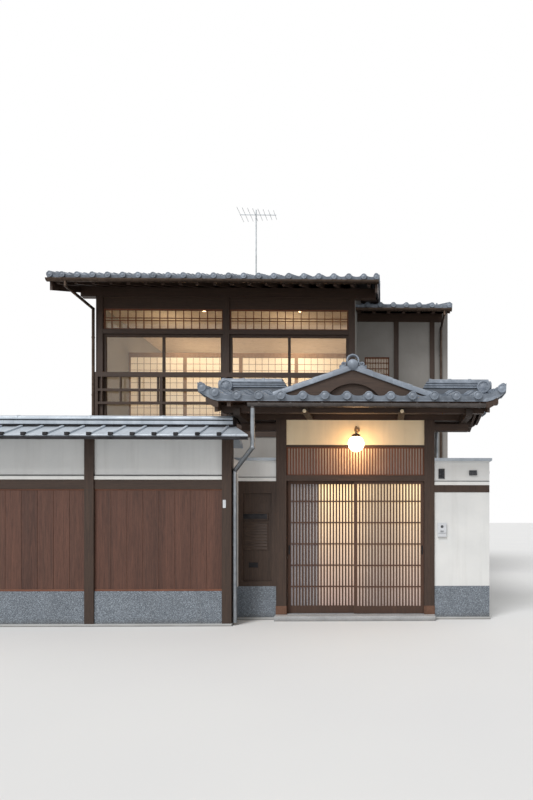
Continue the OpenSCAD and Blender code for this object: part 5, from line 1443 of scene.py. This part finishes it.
mailLooks = {"face": -0.02, "slot": ((-1.541, -1.162), (1.318, 1.418)), "slotFrame": 0.016,
             "louvres": ((-1.541, -1.18), (0.93, 1.28)), "slats": 9, "louvreFrame": 0.012,
             "recess": ((-1.422, -1.302), (0.686, 0.752)), "recessFrame": 0.007}


def makeMailPanel():
    # Letter slot, louvre slats and pull on the boarded panel left of the gate
    face = mailLooks["face"]
    wood, metal = Maker(), Maker()
    (x0, x1), (z0, z1) = mailLooks["slot"]
    edge = mailLooks["slotFrame"]
    frameBars(wood, (x0, x1), (z0, z1), face - edge, face, edge)
    flap = [(face - 0.003, z0 + edge), (face - 0.009, z0 + edge + 0.002), (face - 0.006, z1 - edge - 0.002),
            (face, z1 - edge)]
    metal.extrude(flap, x0 + edge + 0.001, x1 - edge - 0.001)
    (x0, x1), (z0, z1) = mailLooks["louvres"]
    edge = mailLooks["louvreFrame"]
    frameBars(wood, (x0 - edge, x1 + edge), (z0 - edge, z1 + edge), face - 0.010, face, edge)
    pitch = (z1 - z0) / mailLooks["slats"]
    for k in range(mailLooks["slats"]):
        z = z0 + pitch * k
        wood.extrude([(face - 0.009, z + 0.002), (face - 0.007, z), (face, z + pitch * 0.8),
                      (face, z + pitch * 0.95)], x0, x1, anyTone())
    (x0, x1), (z0, z1) = mailLooks["recess"]
    edge = mailLooks["recessFrame"]
    frameBars(metal, (x0, x1), (z0, z1), face - 0.006, face, edge)
    edge -= 0.001
    metal.box((x0 + edge, face - 0.002, z0 + edge), (x1 - edge, face, z1 - edge), 0.2)
    addPiece("mail_panel_frames", wood, darkBeam)
    addPiece("mail_panel_metal", metal, darkMetal)


shoeLooks = {"top": 0.178, "proud": 0.004, "nailInset": 0.02}


def makePostShoes():
    # Copper shoes with small nails on the feet of the gate posts
    low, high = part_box("gate_posts")
    side, proud, inset = postWidth["gate"], shoeLooks["proud"], shoeLooks["nailInset"]
    z0, z1 = low.z + 0.001, shoeLooks["top"]
    copper = Maker()
    for x in (low.x, high.x - side):
        x0, x1 = x - proud, x + side + proud
        for y0, y1 in ((low.y - proud, low.y + 0.001), (high.y - 0.001, high.y + proud)):
            copper.box((x0, y0, z0), (x1, y1, z1), 0.5, 0.001)
        inner, outer = (x + side, x1) if x < 0 else (x0, x)
        copper.box((inner - 0.001, low.y, z0), (outer + 0.001, high.y, z1), 0.5, 0.001)
        for level in (z0 + inset, z1 - inset):
            for across in (x + inset, x + side - inset):
                copper.turned((across, low.y - proud + 0.001, level), (0, -1, 0),
                              [(0, 0.004), (0.002, 0.0038), (0.003, 0.002), (0.0033, 0.0)], 10, 0.6)
    addPiece("post_shoes", copper, copperShoe)


plateLooks = {"spot": ((-1.629, -1.591), (1.47, 1.57)), "thickness": 0.006}


def makeBlankPlate():
    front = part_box("street_wall_posts")[0].y
    (x0, x1), (z0, z1) = plateLooks["spot"]
    plate = Maker()
    plate.box((x0, front - plateLooks["thickness"], z0), (x1, front + 0.001, z1), 0.5, 0.002)
    addPiece("blank_plate", plate, deviceShell)


armLooks = {"inner": 0.6, "width": 0.080, "innerRise": 0.052, "innerRound": 0.012, "noseSteps": 7,
            "panelHalf": 0.05, "capRadius": 0.023, "capLevel": 2.66}


def makeGateArms():
    # Outer arms with rounded noses, and slimmer inner ones that stay above the plaster, made good below them
    low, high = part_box("gate_arms")
    look = armLooks
    half, deep = look["width"] / 2, look["panelHalf"]
    outerAt = high.x - half
    arms, plugs = Maker(), Maker()
    for x in (-outerAt, -look["inner"], look["inner"], outerAt):
        foot, r = low.z, (high.z - low.z) / 2
        if abs(x) < outerAt:
            foot, r = low.z + look["innerRise"], look["innerRound"]
            plugs.box((x - half, -deep, low.z), (x + half, deep, foot))
        nose = [(r * (1 - math.cos(a)), foot + r * (1 - math.sin(a)))
                for a in np.linspace(0, math.pi / 2, look["noseSteps"])]
        arms.extrude([(high.y, high.z - 0.001), (low.y, high.z - 0.001)] + [(low.y + y, z) for y, z in nose]
                     + [(high.y - y, z) for y, z in nose[::-1]], x - half, x + half)
    addPiece("gate_arm_timbers", arms, shadeRafter, replaced=("gate_arms",))
    # The plaster below the arms is cream with the same painted lamplight
    addPiece("plaster_below_arms", plugs, lampWarmedPlaster)


def makeNoseCaps():
    # Pale painted noses on the inner arms under the eave
    low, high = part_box("gate_arms")
    r = armLooks["capRadius"]
    maker = Maker()
    for x in (-armLooks["inner"], armLooks["inner"]):
        for y, way in ((low.y, -1), (high.y, 1)):
            maker.turned((x, y - way * 0.001, armLooks["capLevel"]), (0, way, 0), [
                (0, r), (0.004, r), (0.007, r * 0.93), (0.009, r * 0.6), (0.0095, 0.0)], 20, 0.6)
    # The caps share that plaster's cream, which is painted lamplight
    addPiece("arm_nose_caps", maker, lampWarmedPlaster)


# Strips by how far they stand out, foot and head; beads and footings by their two X, then level or Y
trimLooks = {
    "strips": ((0.010, 0.430, 0.455), (0.006, 1.690, 1.706)), "bayPlaster": -0.47, "bayBead": 1.824,
    "sleeveBeads": ((-1.555, -gateSide, 1.835), (gateSide, 1.79, 1.785)), "bead": 0.042,
    # grooveShade is the foot and head, over each bead, of a thin dark strip that is painted shade of a groove
    "grooveShade": (0.050, 0.058),
    "footings": ((-5.04, -1.52, -0.475), (gateSide, 1.80, -0.055), (-1.555, -gateSide, -0.055)),
    "footingHalf": 0.03, "footingTop": 0.028,
}


def makeWallTrims():
    # Sill strip over the plinth and a thin dark strip across the plaster, painted shade of a groove above the
    # bead, bay by bay, with the pale footing below
    look = trimLooks
    half = postWidth["wall"] / 2
    bays = [(left + half, right - half) for left, right in zip(wallPosts[:-1], wallPosts[1:])]
    boardFace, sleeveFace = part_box("street_wall_boards")[0].y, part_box("intercom")[1].y
    wood, grooveShade, beads, foot = Maker(), Maker(), Maker(), Maker()
    for x0, x1 in bays:
        for proud, z0, z1 in look["strips"]:
            wood.box((x0, boardFace - proud, z0), (x1, boardFace + 0.004, z1), anyTone(), 0.003)
    fronts = [(x0, x1, look["bayPlaster"], look["bayBead"]) for x0, x1 in bays]
    fronts += [(x0, x1, sleeveFace, z) for x0, x1, z in look["sleeveBeads"]]
    shadeFoot, shadeHead = look["grooveShade"]
    for x0, x1, front, z in fronts:
        beads.box((x0, front - 0.003, z), (x1, front + 0.006, z + look["bead"]), anyTone(), 0.002)
        grooveShade.box((x0, front - 0.004, z + shadeFoot), (x1, front + 0.006, z + shadeHead), ease=0.001)
    deep, top = look["footingHalf"], look["footingTop"]
    for x0, x1, y in look["footings"]:
        foot.box((x0, y - deep, 0.0), (x1, y + deep, top), ease=0.006)
    addPiece("wall_sill_strips", wood, redBeam)
    addPiece("plaster_groove_shade", grooveShade, darkMetal)
    addPiece("plaster_beads", beads, limeBead)
    addPiece("pale_footing", foot, paleConcrete)


# Straps: first X, end and spacing, the gutter's Y, Z and radius, and the way to the roof.
# Clips: X and Y of a downpipe, and how far and which way the wall is
gutterLooks = {
    "gate": {"straps": ((-1.11, 1.6, 0.376, -0.762, 2.715, 0.042, 1),
                        (-1.11, 1.6, 0.376, 0.762, 2.715, 0.042, -1)),
             "levels": (0.35, 1.0, 1.65), "clips": ((-1.4975, -0.43, (-0.031, 0.0)),)},
    "house": {"straps": ((-5.2, 0.3, 0.606, 2.209, 5.518, 0.05, 1),
                         (-5.2, 0.3, 0.606, 9.969, 5.518, 0.05, -1),
                         (0.05, 1.7, 0.5, 3.475, 5.535, 0.05, 1),
                         (0.05, 1.7, 0.5, 8.703, 5.535, 0.05, -1)),
              "levels": (0.55, 1.55, 2.6, 3.7, 4.8),
              "clips": ((-5.155, 3.102, (0.0, 0.034)), (-5.0, 9.076, (0.0, -0.034)),
                        (1.603, 4.118, (0.0, 0.034)), (1.603, 8.06, (0.0, -0.034)))},
    "pipe": 0.027, "clipHeight": 0.022, "clipThickness": 0.004,
    "strapHalf": 0.009, "strapThickness": 0.0018, "strapDrop": 0.003, "strapRear": 0.03, "strapFront": 0.006,
    "stemHalf": 0.006, "stemRise": 0.005,
}


def hookGutter(maker, xs, y, z, r, back):
    # Straps under a half-round gutter, turned up behind it; back is -1 where the roof is towards -Y
    look = gutterLooks
    reach, half = r + look["strapDrop"], look["strapHalf"]
    path = [(y - back * reach * math.cos(t), z + reach * math.sin(t))
            for t in np.linspace(math.pi, 2 * math.pi, 13)]
    path = [(path[0][0], z + look["strapRear"])] + path + [(path[-1][0], z + look["strapFront"])]
    section = []
    for i, (py, pz) in enumerate(path):
        ahead = Vector(path[min(i + 1, len(path) - 1)]) - Vector(path[max(i - 1, 0)])
        alongY, alongZ = ahead.normalized() * look["strapThickness"]
        section.append([(way * half, py + side * alongZ, pz - side * alongY)
                        for way, side in ((-1, -1), (1, -1), (1, 1), (-1, 1))])
    for x in xs:
        maker.loft([[(x + across, py, pz) for across, py, pz in ring] for ring in section])


def pipeBand(maker, x, y, z, wall):
    # Clip round a downpipe with a stem back to the wall; wall is its (x, y) direction
    look = gutterLooks
    r, tall = look["pipe"], look["clipHeight"]
    outer = r + look["clipThickness"]
    maker.turned((x, y, z - tall / 2), (0, 0, 1), [(0, r), (0, outer), (tall, outer), (tall, r)], 20)
    pipe, stem, half = Vector((x, y)), Vector(wall), look["stemHalf"]
    way = stem.normalized()
    maker.loft([[(p.x - side * way.y * half, p.y + side * way.x * half, z + rise * look["stemRise"])
                 for side, rise in ((-1, -1), (1, -1), (1, 1), (-1, 1))]
                for p in (pipe + way * (r - 0.002), pipe + stem)])


def makeGutterFittings():
    for name, material in (("gate", greyGutter), ("house", bronzeSheet)):
        look = gutterLooks[name]
        maker = Maker()
        for first, end, spacing, *gutter in look["straps"]:
            hookGutter(maker, np.arange(first, end, spacing), *gutter)
        for level in look["levels"]:
            for x, y, wall in look["clips"]:
                pipeBand(maker, x, y, level, wall)
        addPiece(name + "_gutter_fittings", maker, material)


# Pulls: side, X and front
leafLooks = {"foot": 0.10, "head": 0.05, "stile": 0.045, "rails": 5, "firstAt": 0.15, "spaces": 5.7,
             "railSeat": 0.0135, "railHalf": 0.0085, "railFront": 0.0012, "railBack": 0.0165,
             "pulls": (("left", -0.890, 0.0075), ("right", 0.890, -0.0405)), "pull": (0.86, 0.98),
             "pullHalf": 0.011, "pullEdge": 0.003}


def makeCrossRails():
    # Level rails of the sliding leaves, proud of the thin ones between the bars
    look = leafLooks
    half, stile = look["railHalf"], look["stile"]
    for name, body in (("gate_door_left", "left_leaf"), ("gate_door_right", "right_leaf")):
        low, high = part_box(name)
        inner = (high.z - look["head"]) - (low.z + look["foot"])
        maker = Maker()
        for i in range(1, look["rails"] + 1):
            z = low.z + look["foot"] + inner * (i - look["firstAt"]) / look["spaces"] + look["railSeat"]
            maker.box((low.x + stile, low.y + look["railFront"], z - half),
                      (high.x - stile, low.y + look["railBack"], z + half), anyTone(), 0.002)
        addPiece(name + "_cross_rails", maker, leafBeam, body=body)


def makeLeafPulls():
    # Slim recessed pulls on the outer stiles of the two sliding leaves
    half, edge, (foot, head) = leafLooks["pullHalf"], leafLooks["pullEdge"], leafLooks["pull"]
    for side, x, front in leafLooks["pulls"]:
        maker = Maker()
        frameBars(maker, (x - half, x + half), (foot, head), front - 0.002, front + 0.001, edge + 0.001)
        maker.box((x - half + edge, front - 0.0006, foot + edge),
                  (x + half - edge, front + 0.001, head - edge), 0.2)
        addPiece("leaf_pull_" + side, maker, darkMetal, body=side + "_leaf")


lampLooks = {"collarUp": 0.80, "capRise": 0.035, "armLevel": 2.518, "plateFront": -0.0615,
             "socketFront": -0.075, "screws": 4, "screwRing": 0.027}


def makeLampDetails():
    # Collar over the globe, wall plate screws and the socket of the arm
    low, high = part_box("gate_lamp_globe")
    x, y, z = (low.x + high.x) / 2, (low.y + high.y) / 2, (low.z + high.z) / 2
    look = lampLooks
    r, arm, ring = (high.x - low.x) / 2, look["armLevel"], look["screwRing"]
    maker = Maker()
    maker.turned((x, y, z + r * look["collarUp"]), (0, 0, 1), [
        (0, 0.054), (0, 0.064), (0.006, 0.067), (0.011, 0.064), (0.014, 0.058), (0.014, 0.05)], 36)
    maker.turned((x, y, z + r + look["capRise"]), (0, 0, 1), [
        (0, 0.012), (0, 0.016), (0.008, 0.016), (0.012, 0.0115), (0.018, 0.010)], 24)
    for k in range(look["screws"]):
        t = math.pi / 4 + k * 2 * math.pi / look["screws"]
        maker.turned((x + ring * math.cos(t), look["plateFront"], arm + ring * math.sin(t)), (0, -1, 0),
                     [(0, 0.0042), (0.002, 0.004), (0.0032, 0.0025), (0.0035, 0.0)], 10)
    maker.turned((x, look["socketFront"], arm), (0, -1, 0), [
        (0, 0.014), (0.004, 0.015), (0.010, 0.012), (0.014, 0.0085)], 20)
    addPiece("lamp_fittings", maker, brassCap)


downlightLooks = {"places": (-3.12, -1.25), "y": 3.30, "ceiling": 5.402}


def makeDownlights():
    rim, lens = Maker(), Maker()
    for x in downlightLooks["places"]:
        spot = (x, downlightLooks["y"], downlightLooks["ceiling"])
        rim.turned(spot, (0, 0, -1), [(0, 0.040), (0, 0.058), (0.006, 0.058), (0.010, 0.052), (0.006, 0.044),
                                      (0.002, 0.040)], 28)
        lens.turned(spot, (0, 0, -1), [(0, 0.039), (0.004, 0.039), (0.010, 0.030), (0.013, 0.014),
                                       (0.014, 0.0)], 24)
    addPiece("downlight_rims", rim, lightMetal)
    addPiece("downlight_lenses", lens, downlightGlass)


# The back of the house: each window over its sill, and the door; places along X are from the middle of each.
# Bracket, hood and seam are outlines of (y, z), with y out from the wall
rearLooks = {
    "right": -0.17, "sills": (1.30, 3.95), "windowHalf": 0.80, "windowRise": 1.15, "casing": 0.05,
    "casingProud": 0.018, "seat": 0.01, "sillHalf": 0.84, "sillProud": 0.06, "sill": (-0.085, -0.045),
    "doorHalf": 0.45, "door": (0.40, 2.29), "brackets": (-0.52, 0.50), "bracketWidth": 0.03,
    "railHalf": 0.58, "rail": ((0.285, 2.325), (0.325, 2.352)),
    "hoodHalf": 0.62, "seams": 5, "seamWidth": 0.014,
    "battens": 7, "battensHalf": 0.36, "battenHalf": 0.009, "batten": ((-0.042, 0.50), (-0.033, 2.19)),
    "bracket": ((-0.01, 2.12), (0.02, 2.12), (0.30, 2.325), (0.30, 2.35), (-0.01, 2.42)),
    "hood": ((-0.01, 2.425), (0.345, 2.345), (0.345, 2.357), (-0.01, 2.441)),
    "seam": ((-0.01, 2.435), (0.347, 2.351), (0.347, 2.381), (-0.01, 2.466)),
}


def makeRearCasings():
    # Timber casings, sills and a drip hood round the windows and door of the back
    look = rearLooks
    low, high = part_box("back_walls")
    back, casing = high.y, look["casing"]
    near, far = back + look["casingProud"], back - look["seat"]
    quarter = (look["right"] - low.x) / 4
    left, x = low.x + quarter, look["right"] - quarter
    lower, upper = look["sills"]
    half, wide, (under, over) = look["windowHalf"], look["sillHalf"], look["sill"]
    wood, sheet, battens = Maker(), Maker(), Maker()

    def across(maker, x0, x1, corners, tone, ease):
        (y0, z0), (y1, z1) = corners
        maker.box((x0, back + y0, z0), (x1, back + y1, z1), tone, ease)

    def drawn(maker, key, x0, x1):
        maker.extrude([(back + y, z) for y, z in look[key]], x0, x1)

    for middle, sill in ((left, lower), (left, upper), (x, upper)):
        frameBars(wood, (middle - half, middle + half), (sill - casing, sill + look["windowRise"]),
                  near, far, casing)
        across(wood, middle - wide, middle + wide,
               ((-look["seat"], sill + under), (look["sillProud"], sill + over)), 0.5, 0.006)
    frameBars(wood, (x - look["doorHalf"], x + look["doorHalf"]), look["door"], near, far, casing)
    for at in look["brackets"]:
        drawn(wood, "bracket", x + at, x + at + look["bracketWidth"])
    across(wood, x - look["railHalf"], x + look["railHalf"], look["rail"], 0.4, 0.004)
    addPiece("rear_casings", wood, darkBeam)
    half, wide = look["hoodHalf"], look["seamWidth"]
    drawn(sheet, "hood", x - half, x + half)
    for at in np.linspace(x - half, x + half - wide, look["seams"]):
        drawn(sheet, "seam", at, at + wide)
    addPiece("rear_hood", sheet, roofSheet)
    half, wide = look["battensHalf"], look["battenHalf"]
    for at in np.linspace(x - half, x + half, look["battens"]):
        across(battens, at - wide, at + wide, look["batten"], anyTone(), 0.002)
    addPiece("rear_door_battens", battens, redPost)


wingPaper = {"low": (-0.015, 4.234, 4.18), "high": (0.51, 4.238, 4.78)}


def makeWingPaper():
    # Paper screen close behind the small lattice window of the wing
    maker = Maker()
    maker.box(wingPaper["low"], wingPaper["high"])
    addPiece("wing_window_paper", maker, duskyPaper)


for makeFitting in (makeVents, makeIntercomFace, makeMailPanel, makePostShoes, makeBlankPlate, makeGateArms,
                    makeNoseCaps, makeWallTrims, makeGutterFittings, makeCrossRails, makeLeafPulls,
                    makeLampDetails, makeDownlights, makeRearCasings, makeWingPaper):
    makeFitting()
print("fittings placed")

# Plain pale floor and soft light, with the lamps of the house lit
stageLooks = {
    "floor": "dcdcdb", "floorCloud": "d9d9d9", "floorSize": 400.0, "floorPlace": (-1.8, 3.0, -0.002),
    "world": 0.62, "background": 1.0, "warm": (1.0, 0.74, 0.48),
    "sun": 2.15, "sunAngle": 28.0, "sunTilt": (math.radians(44), 0, math.radians(-30)),
}
houseLights = [
    ("downlight_left", "AREA", (-3.12, 3.30, 5.37), 20.0, 0.07),
    ("downlight_right", "AREA", (-1.25, 3.30, 5.37), 20.0, 0.07),
    ("gallery_left", "POINT", (-3.9, 3.72, 4.9), 9.0, 0.12),
    ("gallery_right", "POINT", (-1.5, 3.72, 4.9), 9.0, 0.12),
    ("room_left", "POINT", (-3.9, 5.6, 4.3), 45.0, 0.2),
    ("room_right", "POINT", (-1.5, 5.6, 4.3), 45.0, 0.2),
    ("wing", "POINT", (0.35, 4.75, 4.5), 26.0, 0.12),
]


def addLight(name, kind, place, power, size):
    light = bpy.data.lights.new(name, kind)
    light.energy = power
    light.color = stageLooks["warm"]
    if kind == "AREA":
        light.shape = "DISK"
        light.size = size
    else:
        light.shadow_soft_size = size
    lamp = bpy.data.objects.new(name, light)
    lamp.location = place
    lamp.visible_camera = False
    lamp.visible_glossy = False
    lamp.visible_transmission = False
    scene.collection.objects.link(lamp)


def makeStage():
    bpy.ops.mesh.primitive_plane_add(size=stageLooks["floorSize"], location=stageLooks["floorPlace"])
    floor = bpy.context.object
    floor.name = "studio_floor"
    material, tree, shader, place = newMaterial("Studio floor", Roughness=0.9)
    cloud = spreadRange(tree, noiseValue(tree, place, 0.4, 2.0), 0.3, 0.7)
    setSurface(tree, shader, Base_Color=mixColors(tree, cloud, stageLooks["floor"], stageLooks["floorCloud"]))
    floor.data.materials.append(material)
    world = bpy.data.worlds.new("Soft studio")
    scene.world = world
    world.use_nodes = True
    tree = world.node_tree
    background = tree.nodes["Background"]
    background.inputs["Color"].default_value = (1, 1, 1, 1)
    # White where the camera, gloss or glass sees it, dimmer as a light
    paths = addNode(tree, "ShaderNodeLightPath").outputs
    seen = doMath(tree, "MAXIMUM", paths["Is Camera Ray"], paths["Is Glossy Ray"])
    seen = doMath(tree, "MAXIMUM", seen, paths["Is Transmission Ray"])
    strength = spreadRange(tree, seen, 0.0, 1.0, stageLooks["world"], stageLooks["background"])
    feed(tree, background.inputs["Strength"], strength)
    sun = bpy.data.lights.new("soft_sun", "SUN")
    sun.energy = stageLooks["sun"]
    sun.angle = math.radians(stageLooks["sunAngle"])
    lamp = bpy.data.objects.new("soft_sun", sun)
    lamp.rotation_euler = stageLooks["sunTilt"]
    scene.collection.objects.link(lamp)
    for row in houseLights:
        addLight(*row)


makeStage()
scene.view_settings.view_transform = "Standard"


print("stage ready")
